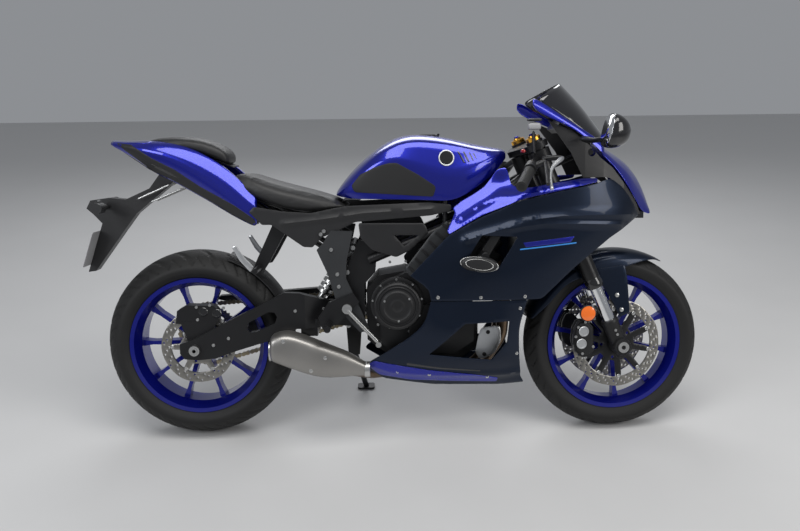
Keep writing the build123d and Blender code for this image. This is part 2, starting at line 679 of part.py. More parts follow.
with BuildPart() as side_panels:
    plate([(232, 730), (261, 762), (500, 779), (772, 788), (838, 780), (838, 760), (771, 746), (520, 730), (411, 700),
           (354, 672)], 128, 132, corner=3)
    mirror(about=Plane.XZ)

# Front body work
# Screen, from rows of its middle x and z, half width and drop to the sides
screen_rows = [(1356, 986, 96, 30), (1290, 1075, 128, 80), (1205, 1165, 140, 116)]
screen_back = Vector(-0.867, 0, -0.498)  # the way the sides drop
screen_edge = [Vector(x, half, z) + screen_back * drop for x, z, half, drop in screen_rows]
screen_wall = 3.5
with BuildPart() as windscreen:
    screen_sections = []
    for x, z, half, drop in screen_rows:
        with BuildSketch(Plane((x, 0, z), x_dir=(0, 1, 0), z_dir=(-0.498, 0, 0.867))) as section:
            with BuildLine():
                ThreePointArc((-half, drop), (0, 0), (half, drop))
                Line((half, drop), (half - screen_wall, drop))
                ThreePointArc((half - screen_wall, drop), (0, screen_wall), (screen_wall - half, drop))
                Line((screen_wall - half, drop), (-half, drop))
            make_face()
        screen_sections.append(section.sketch)
    loft(screen_sections, ruled=True)

cowl_wall = 4.0
cowl_lap = 3.6  # from the screen's edge to the outside of the cowl beside it
# How far the band's middle and foot stand out and down from the screen's edge, bottom row first
band_reach = [(8, 18, 18, 40), (8, 11, 12, 22), (8, 17, 13, 36)]
band_rows = []
for edge, (out, down, foot_out, foot_down) in zip(screen_edge, band_reach):
    top = (edge.Y + cowl_lap, edge.Z + 5)
    middle = (edge.Y + out, edge.Z - down)
    foot = (edge.Y + foot_out, edge.Z - foot_down)
    band_rows.append((edge.X, top, middle, foot))
band_rows.reverse()
nose_rows = [
    (1326, (0, 974), (60, 964), (102, 950), (114, 931)),
    (1368, (0, 948), (60, 936), (98, 916), (108, 893)),
    (1421, (0, 912), (60, 898), (88, 866), (98, 820)),
    (1470, (0, 856), (44, 838), (66, 800), (72, 741)),
    (1510, (0, 762), (22, 755), (38, 746), (44, 736)),
]
band_peg = (1268, 990)
mirror_stay = (1290, stay_z)
with BuildPart() as nose_cowl:
    wall(band_rows, cowl_wall)
    wall(nose_rows, cowl_wall)
    boss(band_rows, *band_peg, stay_half, 5)
    boss(nose_rows, 1462, 780, 30, 6)
    mirror(about=Plane.XZ)

# Black liners under the coloured band, from the cockpit to the nose
liner_rows = [
    (1140, (124, 1064), (122, 950), (122, 840)),
    (1268, (115, 992), (118, 920), (122, 838)),
    (1330, (108, 940), (112, 890), (118, 838)),
    (1400, (96, 872), (100, 830), (104, 780)),
    (1472, (66, 770), (70, 748), (72, 720)),
]
with BuildPart() as cowl_liners:
    wall(liner_rows, cowl_wall)
    outline_trim([(1146, 1042), (1168, 1032), (1227, 1007), (1284, 961), (1320, 922), (1361, 890), (1395, 848),
                  (1425, 809), (1450, 771), (1464, 738), (1456, 738), (1433, 772), (1409, 806), (1384, 834),
                  (1350, 858), (1330, 861), (1262, 860), (1222, 940)])
    rod((mirror_stay[0], stay_half, stay_z), (mirror_stay[0], 200, stay_z), 13, mode=Mode.SUBTRACT)
    boss(liner_rows, 1270, 962, stay_half, 6)
    boss(liner_rows, 1446, 762, 30, 5)
    mirror(about=Plane.XZ)

with BuildPart() as headlight:
    plate([(1430, 720), (1430, 800), (1466, 800), (1490, 750), (1490, 720)], -30, 30)

fairing_wall = 4.0
fairing_rows = [
    (700, (192, 700), (206, 600), (208, 470)),
    (900, (196, 760), (226, 640), (210, 470)),
    (1100, (196, 830), (222, 680), (200, 440)),
    (1300, (170, 880), (186, 740), (160, 600)),
    (1456, (98, 870), (106, 790), (96, 690)),
]
with BuildPart() as side_fairings:
    wall(fairing_rows, fairing_wall)
    outline_trim([(824, 688), (929, 745), (1048, 793), (1174, 821), (1290, 844), (1330, 857), (1349, 854), (1382, 831),
                  (1407, 803), (1431, 769), (1452, 735), (1385, 692), (1308, 638), (1241, 608), (1181, 540),
                  (1121, 479), (768, 479), (762, 514), (742, 534), (703, 562)])
    plate([(927, 688), (1039, 683), (974, 577), (875, 604)], -400, 400, corner=5, mode=Mode.SUBTRACT)
    boss(fairing_rows, 1010, 711, 130, 7)
    boss(fairing_rows, 790, 515, case_right, 7)
    mirror(about=Plane.XZ)

# Covers above the fairing's seam, dished so that the bars and their controls clear them at full lock
top_rows = [
    (815, (146, 775), (158, 750), (186, 720), (198, 680)),
    (1000, (122, 910), (134, 845), (190, 806), (200, 765)),
    (1180, (130, 900), (160, 868), (190, 845), (198, 810)),
    (1335, (118, 900), (138, 878), (156, 862), (162, 840)),
]
with BuildPart() as fairing_tops:
    wall(top_rows, fairing_wall)
    outline_trim([(826, 692), (820, 702), (838, 737), (847, 757), (841, 770), (869, 792), (905, 812), (942, 836),
                  (965, 862), (985, 890), (1013, 896), (1022, 872), (1026, 842), (1052, 831), (1093, 835), (1173, 850),
                  (1247, 859), (1300, 860), (1296, 850), (1174, 825), (1048, 797), (929, 749)])
    boss(top_rows, 980, 791, 130, 7)
    mirror(about=Plane.XZ)

lower_rows = [
    (540, (150, 330), (150, 280), (110, 206)),
    (760, (196, 475), (188, 300), (110, 180)),
    (1000, (206, 475), (188, 320), (110, 178)),
    (1084, (190, 475), (178, 340), (100, 182)),
]
with BuildPart() as lower_fairing:
    wall(lower_rows, fairing_wall)
    outline_trim([(768, 474), (1074, 474), (1050, 388), (1054, 303), (1067, 208), (1081, 184), (997, 178), (779, 182),
                  (618, 207), (545, 251), (577, 275), (701, 359), (748, 406)])
    plate([(761, 301), (876, 406), (1018, 411), (1012, 342), (964, 280)], -400, 400, corner=8, mode=Mode.SUBTRACT)
    boss(lower_rows, 720, 306, case_right, 6)
    boss(lower_rows, 1058, 458, 165, 5)
    mirror(about=Plane.XZ)

with BuildPart() as dash:
    with BuildSketch(Plane((1205, 0, 1050), x_dir=(0, 1, 0), z_dir=(-0.8, 0, 0.6))) as dash_face:
        RectangleRounded(150, 84, 12)
    extrude(dash_face.sketch, amount=-22)

# Mirror housings, from rows of distance ahead of the glass, width, height and corner
mirror_rows = [(0, 128, 94, 30), (30, 122, 90, 32), (52, 92, 66, 26), (66, 52, 36, 16)]
with BuildPart() as mirrors:
    mirror_plane = Plane((1281, 322, 1006), x_dir=(0, 1, 0), z_dir=(0.974, 0, -0.225))
    mirror_sections = []
    for ahead, width, height, corner in mirror_rows:
        with BuildSketch(mirror_plane.offset(ahead)) as section:
            RectangleRounded(width, height, corner)
        mirror_sections.append(section.sketch)
    loft(mirror_sections, ruled=True)
    rod((mirror_stay[0], stay_half + seat_gap, stay_z), (mirror_stay[0], 164, stay_z), 9)
    rod((mirror_stay[0], 158, stay_z), (1312, 284, 996), 8)
    mirror(about=Plane.XZ)

# Controls and rests
rest_y = brace_y + brace_thickness + seat_gap
with BuildPart() as footrests:
    plate([(405, 420), (440, 470), (520, 500), (540, 470), (470, 400), (420, 380)], rest_y, rest_y + 10, corner=4)
    rod((440, -rest_y - 10, 400), (440, -232, 400), 11)
    plate([(190, 560), (205, 600), (276, 748), (320, 724), (250, 600), (230, 570)], bracket_y + seat_gap, 103, corner=4)
    rod((216, -103, 582), (216, -200, 582), 9)
    mirror(about=Plane.XZ)

with BuildPart() as foot_controls:
    cross_disc(500, 450, 16, rest_y + 10 + seat_gap, rest_y + 24)
    rod((500, -rest_y - 18, 446), (600, -rest_y - 30, 340), 7)
    rod((600, -rest_y - 24, 340), (600, -rest_y - 60, 340), 9)
    mirror(about=Plane.XZ)

with BuildPart() as crash_pads:
    rod((935, -103 - seat_gap, 626), (935, -238, 626), 12)
    plate([(852, 600), (880, 634), (974, 626), (972, 594), (900, 574)], 236, 262, corner=10)
    mirror(about=Plane.XZ)

# Side stand, deployed, on the left: it folds back and up about a slanted pin
stand_pin = Vector(505, 114, 252)
stand_foot_x = 545.0
stand_foot_y = 285.0
stand_foot_z = stand_foot_y * tan(radians(lean_angle))
stand_out = (Vector(stand_foot_x, stand_foot_y, stand_foot_z + 6) - stand_pin).normalized()
stand_in = Vector(-262, 52, -22).normalized()  # direction of the leg when folded
stand_turn = (stand_out - stand_in).normalized()
stand_axis = (Vector(0, 1, 0) - stand_turn * stand_turn.Y).normalized()
stand_pin_radius = 6.0
with BuildPart() as side_stand:
    rod(stand_pin, (stand_foot_x, stand_foot_y, stand_foot_z + 7), 10)
    rod(stand_pin - stand_axis * 8, stand_pin + stand_axis * 8, 17)
    foot_plane = Plane((stand_foot_x, stand_foot_y, stand_foot_z), x_dir=(1, 0, 0),
                       z_dir=(0, -sin(radians(lean_angle)), cos(radians(lean_angle))))
    with BuildSketch(foot_plane) as foot:
        RectangleRounded(64, 40, 10)
    extrude(foot.sketch, amount=8)
    rod(stand_pin - stand_axis * 30, stand_pin + stand_axis * 30, stand_pin_radius + axle_fit, mode=Mode.SUBTRACT)

with main_frame:
    rod(stand_pin - stand_axis * 24, stand_pin + stand_axis * 14, stand_pin_radius)
    rod(stand_pin - stand_axis * 24, stand_pin - stand_axis * 9, 14)

# Fork, drawn from the front axle
fender_half = 76.5
fender_wall = 3.5
wing_near = 75.5
wing_far = 79.0


def cap_disc(x, y, radius, low, high, mode=Mode.ADD):
    """Round piece along the fork legs, between two heights."""
    with BuildSketch(Plane.XY.offset(low)) as outline:
        with Locations((x, y)):
            Circle(radius)
    extrude(outline.sketch, amount=high - low, mode=mode)


with BuildPart() as triple_clamps:
    for low, high in (lower_clamp, upper_clamp):
        with BuildSketch(Plane.XY.offset(low)) as clamp:
            with BuildLine():
                CenterArc((0, leg_y), 38, 0, 360)
                CenterArc((0, -leg_y), 38, 0, 360)
                CenterArc((-fork_offset, 0), 34, 0, 360)
            make_hull()
            with Locations((0, leg_y), (0, -leg_y)):
                Circle(tube_radius + seat_gap, mode=Mode.SUBTRACT)
        extrude(clamp.sketch, amount=high - low)
    cap_disc(-fork_offset, 0, stem_radius, lower_clamp[0], upper_clamp[1])

with BuildPart() as fork_tubes:
    for side in (-1, 1):
        cap_disc(0, side * leg_y, tube_radius, stanchion_show, tube_top)
        cap_disc(0, side * leg_y, stanchion_radius + seat_gap, stanchion_show, tube_top - 12, mode=Mode.SUBTRACT)

with BuildPart() as fork_legs:
    for side in (-1, 1):
        cap_disc(0, side * leg_y, stanchion_radius, 80, 420)
        cap_disc(0, side * leg_y, 27, -30, stanchion_bottom)
        plate([(-118, -6), (-118, 62), (-10, 90), (-10, -16)], *span_of(side, 93, 112))
        plate([(6, 78), (70, 96), (74, 160), (6, 92)], *span_of(side, wing_far + seat_gap, 92))
    cross_disc(0, 0, front_axle_radius + seat_gap, -200, 200, mode=Mode.SUBTRACT)

with BuildPart() as front_axle:
    cross_disc(0, 0, front_axle_radius, -140, 136)
    cross_disc(0, 0, 18, 132 + seat_gap, 144)
    cross_disc(0, 0, 17, 66, 77.6)
    cross_disc(0, 0, 17, -77.6, -66)
    cross_disc(0, 0, front_axle_bore, -160, 160, mode=Mode.SUBTRACT)

with BuildPart() as front_rim:
    cast_wheel(52.0, [(65.45, 65.45, 36.0)], 15.0, 24.0)
    cross_disc(0, 0, front_axle_radius + axle_fit, -120, 120, mode=Mode.SUBTRACT)

with BuildPart() as front_tyre:
    revolve(tyre_section(front_radius, front_width), axis=Axis.Y)

with BuildPart() as front_discs:
    for side in (-1, 1):
        near, far = span_of(side, front_disc_y - front_disc_thickness / 2, front_disc_y + front_disc_thickness / 2)
        cross_disc(0, 0, front_disc_radius, near, far)
        cross_disc(0, 0, front_disc_radius - 32, near, far, mode=Mode.SUBTRACT)
        cross_disc(0, 0, 60, near, far)
        cross_disc(0, 0, 20, near, far, mode=Mode.SUBTRACT)
        for turn in range(10):
            with BuildSketch(Plane.XZ.offset(near).rotated((0, 36 * turn, 0))) as arm:
                with Locations((90, 0)):
                    Rectangle(66, 12)
            extrude(arm.sketch, amount=front_disc_thickness)

caliper_gap = front_disc_thickness / 2 + running_gap
with BuildPart() as front_calipers:
    for side in (-1, 1):
        plate([(-150, -24), (-158, 30), (-146, 84), (-92, 76), (-90, -16)], *span_of(side, 48, 92.7), corner=6)
        plate([(-149, -40), (-149, 100), (-80, 100), (-80, -40)],
              *span_of(side, front_disc_y - caliper_gap, front_disc_y + caliper_gap), mode=Mode.SUBTRACT)

fender_radius = front_radius + 20
with BuildPart() as front_fender:
    with BuildSketch(Plane.YZ) as arch:
        with BuildLine():
            ThreePointArc((-fender_half, fender_radius - 44), (0, fender_radius), (fender_half, fender_radius - 44))
            Line((fender_half, fender_radius - 44), (fender_half, fender_radius - 104))
            Line((fender_half, fender_radius - 104), (fender_half - fender_wall, fender_radius - 104))
            Line((fender_half - fender_wall, fender_radius - 104), (fender_half - fender_wall, fender_radius - 46))
            ThreePointArc((fender_half - fender_wall, fender_radius - 46), (0, fender_radius - fender_wall),
                          (fender_wall - fender_half, fender_radius - 46))
            Line((fender_wall - fender_half, fender_radius - 46), (fender_wall - fender_half, fender_radius - 104))
            Line((fender_wall - fender_half, fender_radius - 104), (-fender_half, fender_radius - 104))
            Line((-fender_half, fender_radius - 104), (-fender_half, fender_radius - 44))
        make_face()
    revolve(arch.sketch.rotate(Axis.Y, -38), axis=Axis.Y, revolution_arc=95)
    # side outline: pointed ahead, lowest beside the legs and cut short behind them
    plate([(274, 176), (244, 197), (198, 214), (147, 220), (96, 218), (30, 216), (4, 252), (-60, 262), (-150, 224),
           (-230, 200), (-230, 420), (300, 420)], -100, 100, mode=Mode.INTERSECT)
    for span in both_sides(wing_near, wing_far):
        plate([(30, 277), (125, 250), (116, 205), (81, 80), (40, 80), (36, 215)], *span, corner=4)

bar_start = Vector(-20, -132, 688)
bar_end = Vector(-141.5, -330, 646)
with BuildPart() as clip_on_bars:
    cap_disc(0, -leg_y, 36, 670, 704)
    rod(bar_start, bar_end, 10)
    cap_disc(0, -leg_y, tube_radius + seat_gap, 600, 750, mode=Mode.SUBTRACT)
    mirror(about=Plane.XZ)

bar_along = (bar_end - bar_start).normalized()
grip_start = bar_end - bar_along * 122
with BuildPart() as grips:
    rod(grip_start, bar_end, 16.5)
    rod(grip_start - bar_along * 10, bar_end + bar_along * 10, 10 + seat_gap, mode=Mode.SUBTRACT)
    mirror(about=Plane.XZ)

with BuildPart() as hand_controls:
    control_end = grip_start - bar_along * 8
    rod(control_end - bar_along * 34, control_end, 20)
    rod(control_end - bar_along * 20, control_end - bar_along * 20 + Vector(46, -8, 0), 9)
    rod(control_end - bar_along * 20 + Vector(46, -8, 0), (-66, -330, 620), 5.5)
    rod(control_end - bar_along * 44, control_end + bar_along * 30, 10 + seat_gap, mode=Mode.SUBTRACT)
    mirror(about=Plane.XZ)

# Each piece by its name, with the place it is drawn in
upright = Location()
steering_place = Location(Plane(axis_foot, z_dir=axis_up))
steered = steering_place * Rot(0, 0, steer_angle) * steering_place.inverse()
on_fork = steered * Location(fork_plane)
pieces = {
    "rear_rim": (rear_rim, rear_lift),
    "rear_tyre": (rear_tyre, rear_lift),
    "rear_disc": (rear_disc, rear_lift),
    "rear_sprocket": (rear_sprocket, rear_lift),
    "swingarm": (swingarm, upright),
    "rear_axle": (rear_axle, upright),
    "rear_caliper": (rear_caliper, upright),
    "chain": (chain, upright),
    "chain_guard": (chain_guard, upright),
    "crankcase": (crankcase, upright),
    "engine_covers": (engine_covers, upright),
    "cylinders": (cylinders, upright),
    "exhaust_header": (exhaust_header, upright),
    "muffler": (muffler, upright),
    "radiator": (radiator, upright),
    "main_frame": (main_frame, upright),
    "frame_braces": (frame_braces, upright),
    "subframe": (subframe, upright),
    "rear_shock": (rear_shock, upright),
    "fuel_tank": (fuel_tank, upright),
    "fuel_cap": (fuel_cap, upright),
    "rider_seat": (rider_seat, upright),
    "pillion_seat": (pillion_seat, upright),
    "tail_fairing": (tail_fairing, upright),
    "tail_underside": (tail_underside, upright),
    "tail_light": (tail_light, upright),
    "plate_hanger": (plate_hanger, upright),
    "licence_plate": (licence_plate, upright),
    "side_panels": (side_panels, upright),
    "nose_cowl": (nose_cowl, upright),
    "cowl_liners": (cowl_liners, upright),
    "windscreen": (windscreen, upright),
    "headlight": (headlight, upright),
    "side_fairings": (side_fairings, upright),
    "fairing_tops": (fairing_tops, upright),
    "lower_fairing": (lower_fairing, upright),
    "dash": (dash, upright),
    "mirrors": (mirrors, upright),
    "footrests": (footrests, upright),
    "foot_controls": (foot_controls, upright),
    "crash_pads": (crash_pads, upright),
    "side_stand": (side_stand, upright),
    "triple_clamps": (triple_clamps, on_fork),
    "fork_tubes": (fork_tubes, on_fork),
    "fork_legs": (fork_legs, on_fork),
    "front_axle": (front_axle, on_fork),
    "front_rim": (front_rim, on_fork),
    "front_tyre": (front_tyre, on_fork),
    "front_discs": (front_discs, on_fork),
    "front_calipers": (front_calipers, on_fork),
    "front_fender": (front_fender, on_fork),
    "clip_on_bars": (clip_on_bars, on_fork),
    "grips": (grips, on_fork),
    "hand_controls": (hand_controls, on_fork),
}

# Park it: lean it left, level the two tyres on the ground, and put the origin under the middle of its box.
leaned = Rot(-lean_angle, 0, 0)
rear_low = rear_tyre.part.moved(leaned * rear_lift).bounding_box().min.Z
front_low = front_tyre.part.moved(leaned * on_fork).bounding_box().min.Z
settled = Rot(0, degrees(atan2(front_low - rear_low, wheelbase)), 0) * leaned
box = Compound([piece.part.moved(settled * place) for piece, place in pieces.values()]).bounding_box()
parked = Pos(-box.center().X, -box.center().Y, -box.min.Z) * settled

os.makedirs("parts", exist_ok=True)
for name, (piece, place) in pieces.items():
    stood = piece.part.moved(parked * place)
    stood.label = name
    export_step(stood, f"parts/{name}.step")
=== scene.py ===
import json
import math
import bpy
import bmesh
import numpy as np
from mathutils import Matrix, Vector, noise
from mathutils.bvhtree import BVHTree
from mathutils.geometry import delaunay_2d_cdt


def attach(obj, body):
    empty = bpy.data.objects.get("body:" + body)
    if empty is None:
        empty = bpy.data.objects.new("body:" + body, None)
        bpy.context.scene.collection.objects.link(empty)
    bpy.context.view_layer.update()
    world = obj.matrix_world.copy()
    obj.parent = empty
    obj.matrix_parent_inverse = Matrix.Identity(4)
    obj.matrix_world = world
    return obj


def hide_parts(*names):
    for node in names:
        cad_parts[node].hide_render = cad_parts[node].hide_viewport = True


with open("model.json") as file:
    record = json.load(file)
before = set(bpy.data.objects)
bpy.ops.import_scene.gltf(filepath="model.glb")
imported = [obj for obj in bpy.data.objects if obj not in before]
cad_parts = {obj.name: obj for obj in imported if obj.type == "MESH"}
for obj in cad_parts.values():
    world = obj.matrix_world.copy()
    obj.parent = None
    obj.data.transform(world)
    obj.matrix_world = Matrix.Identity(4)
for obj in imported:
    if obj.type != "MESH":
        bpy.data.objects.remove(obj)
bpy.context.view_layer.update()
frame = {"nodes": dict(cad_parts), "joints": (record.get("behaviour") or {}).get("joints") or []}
print("frame loaded:", len(frame["nodes"]), "nodes")

# Two drawing frames, in millimetres: the upright bike from the ground under its rear axle, and the fork from its axle
layout = {"rake": 23.67, "rearRadius": 315.0, "mm": 0.001}
joints = {joint["name"]: joint for joint in frame["joints"]}


def axesMatrix(origin, ahead, left, up):
    turn = Matrix((ahead, left, up)).transposed().to_4x4()
    return Matrix.Translation(origin) @ turn @ Matrix.Scale(layout["mm"], 4)


rearAxis = Vector(joints["rear_wheel_turn"]["axis"]).normalized()
steerAxis = Vector(joints["steering"]["axis"]).normalized()
forkSide = Vector(joints["front_wheel_turn"]["axis"]).normalized()
rakeSin, rakeCos = math.sin(math.radians(layout["rake"])), math.cos(math.radians(layout["rake"]))
across = rearAxis.cross(steerAxis)
bikeAhead = across * rakeCos - steerAxis * rakeSin
bikeUp = steerAxis * rakeCos + across * rakeSin
bikeOrigin = Vector(joints["rear_wheel_turn"]["pos_m"]) - bikeUp * layout["rearRadius"] * layout["mm"]
bikeFrame = axesMatrix(bikeOrigin, bikeAhead, rearAxis, bikeUp)
forkFrame = axesMatrix(Vector(joints["front_wheel_turn"]["pos_m"]), forkSide.cross(steerAxis), forkSide, steerAxis)
rearFrame = axesMatrix(Vector(joints["rear_wheel_turn"]["pos_m"]), bikeAhead, rearAxis, bikeUp)

# Camera, light and floor
view = {
    "place": (632, -2436, 1430), "pitch": 19.0, "yaw": -0.97, "roll": 0.53, "focal": 791.0, "imageWidth": 800.0,
    "sensor": 36.0,
}
cameraData = bpy.data.cameras.new("camera")
cameraData.sensor_width = view["sensor"]
cameraData.lens = view["focal"] * view["sensor"] / view["imageWidth"]
camera = bpy.data.objects.new("camera", cameraData)
bpy.context.scene.collection.objects.link(camera)
cameraTurn = (Matrix.Rotation(math.radians(view["yaw"]), 3, "Z")
              @ Matrix.Rotation(math.radians(90 - view["pitch"]), 3, "X")
              @ Matrix.Rotation(math.radians(-view["roll"]), 3, "Z"))
cameraPlace = Vector((bikeOrigin.x, bikeOrigin.y, bikeOrigin.z)) + Vector(view["place"]) * layout["mm"]
camera.matrix_world = Matrix.Translation(cameraPlace) @ cameraTurn.to_4x4()
bpy.context.scene.camera = camera

studio = {
    "floorSize": 14.0, "world": (0.80, 0.83, 0.88), "worldPower": 0.33,
    "lamps": [  # place, target, size, power, colour
        ((0.2, -1.2, 3.6), (0.0, 0.0, 0.6), (3.6, 1.6), 84, (1.0, 0.99, 0.97)),
        ((-2.8, -2.6, 2.4), (-0.3, 0.0, 0.5), (1.6, 1.6), 46, (0.95, 0.97, 1.0)),
        ((3.0, -2.2, 2.0), (0.4, 0.0, 0.6), (1.4, 1.8), 42, (1.0, 0.98, 0.95)),
        ((0.0, 3.0, 2.6), (0.0, 0.0, 0.5), (3.0, 1.4), 46, (0.97, 0.98, 1.0)),
    ],
}
for number, (place, target, size, power, colour) in enumerate(studio["lamps"]):
    lampData = bpy.data.lights.new(f"lamp{number}", "AREA")
    lampData.shape = "RECTANGLE"
    lampData.size, lampData.size_y = size
    lampData.energy = power
    lampData.color = colour
    lamp = bpy.data.objects.new(f"lamp{number}", lampData)
    bpy.context.scene.collection.objects.link(lamp)
    aim = (Vector(target) - Vector(place)).to_track_quat("-Z", "Y")
    lamp.matrix_world = Matrix.Translation(place) @ aim.to_matrix().to_4x4()
world = bpy.data.worlds.new("studio")
world.use_nodes = True
world.node_tree.nodes["Background"].inputs["Color"].default_value = (*studio["world"], 1)
world.node_tree.nodes["Background"].inputs["Strength"].default_value = studio["worldPower"]
bpy.context.scene.world = world
bpy.context.scene.view_settings.view_transform = "Standard"


# Materials
class Wave:  # a shader value that takes part in sums
    def __init__(self, finish, socket):
        self.finish, self.socket = finish, socket

    def sum(self, other, operation, swap=False):
        first, second = (other, self) if swap else (self, other)
        return self.finish.node("Math", {"operation": operation}, {0: first, 1: second})

    def __add__(self, other): return self.sum(other, "ADD")
    def __radd__(self, other): return self.sum(other, "ADD", True)
    def __sub__(self, other): return self.sum(other, "SUBTRACT")
    def __rsub__(self, other): return self.sum(other, "SUBTRACT", True)
    def __mul__(self, other): return self.sum(other, "MULTIPLY")
    def __rmul__(self, other): return self.sum(other, "MULTIPLY", True)
    def __truediv__(self, other): return self.sum(other, "DIVIDE")
    def __gt__(self, other): return self.sum(other, "GREATER_THAN")
    def __lt__(self, other): return self.sum(other, "LESS_THAN")


class Finish:  # one material and its nodes
    def __init__(self, name):
        self.material = bpy.data.materials.new(name)
        self.material.use_nodes = True
        self.tree = self.material.node_tree
        self.shader = self.tree.nodes["Principled BSDF"]

    def node(self, kind, settings=None, values=None, out=0):
        made = self.tree.nodes.new("ShaderNode" + kind)
        for name, value in (settings or {}).items():
            if name == "stops":
                ramp = made.color_ramp
                while len(ramp.elements) < len(value):
                    ramp.elements.new(0.5)
                for element, (place, colour) in zip(ramp.elements, value):
                    element.position, element.color = place, (*colour, 1) if len(colour) == 3 else colour
            else:
                setattr(made, name, value)
        for name, value in (values or {}).items():
            if isinstance(value, Wave):
                self.tree.links.new(value.socket, made.inputs[name])
            elif isinstance(value, tuple) and len(value) == 3 and made.inputs[name].type == "RGBA":
                made.inputs[name].default_value = (*value, 1)
            else:
                made.inputs[name].default_value = value
        return Wave(self, made.outputs[out])

    def put(self, **values):
        names = {"color": "Base Color", "rough": "Roughness", "metal": "Metallic", "coat": "Coat Weight",
                 "coatRough": "Coat Roughness", "alpha": "Alpha", "normal": "Normal", "glow": "Emission Color",
                 "glowPower": "Emission Strength", "ior": "IOR", "through": "Transmission Weight",
                 "sheen": "Sheen Weight", "specular": "Specular IOR Level"}
        for name, value in values.items():
            socket = self.shader.inputs[names[name]]
            if isinstance(value, Wave):
                self.tree.links.new(value.socket, socket)
            else:
                socket.default_value = (*value, 1) if isinstance(value, tuple) else value
        return self

    def spot(self, scale=1.0, turn=(0, 0, 0)):
        place = self.node("TexCoord", out=3)
        return self.node("Mapping", None, {"Vector": place, "Scale": (scale,) * 3, "Rotation": turn})

    def grain(self, scale, detail=3.0, roughness=0.5, vector=None):
        return self.node("TexNoise", None, {"Vector": vector or self.spot(), "Scale": scale, "Detail": detail,
                                            "Roughness": roughness})

    def cells(self, scale, feature="F1", vector=None):
        return self.node("TexVoronoi", {"feature": feature}, {"Vector": vector or self.spot(), "Scale": scale})

    def blend(self, factor, first, second):
        return self.node("Mix", {"data_type": "RGBA"}, {0: factor, 6: (*first, 1) if isinstance(first, tuple) else first,
                                                        7: (*second, 1) if isinstance(second, tuple) else second}, out=2)

    def span(self, value, low, high):
        return self.node("MapRange", None, {"Value": value, "To Min": low, "To Max": high})

    def bumped(self, height, strength=0.2, distance=0.001):
        return self.node("Bump", None, {"Height": height, "Strength": strength, "Distance": distance})


def plainFinish(name, color, rough, metal=0.0, coat=0.0, coatRough=0.05, mottle=0.12, mottleScale=14.0, grainScale=900.0,
                grainDepth=0.12, roughSpread=0.06, specular=0.5):
    # a paint, plastic or metal whose colour and roughness drift a little, over a fine grain
    finish = Finish(name)
    drift = finish.grain(mottleScale)
    darker = tuple(part * (1 - mottle) for part in color)
    lighter = tuple(min(1.0, part * (1 + mottle)) for part in color)
    finish.put(color=finish.blend(drift, darker, lighter), rough=finish.span(drift, rough - roughSpread, rough + roughSpread),
               metal=metal, coat=coat, coatRough=coatRough, specular=specular)
    if grainDepth:
        finish.put(normal=finish.bumped(finish.grain(grainScale, 2.0), grainDepth, 0.0004))
    return finish.material


def flakePaint(name, color, flake, rough, coat):
    # metallic paint: fine bright flakes under a clear coat
    finish = Finish(name)
    flakes = finish.cells(2600.0)
    drift = finish.grain(6.0)
    base = finish.blend(flakes * 0.9, flake, color)
    finish.put(color=base, rough=finish.span(drift, rough - 0.04, rough + 0.04), metal=0.75, coat=coat, coatRough=0.03)
    return finish.material


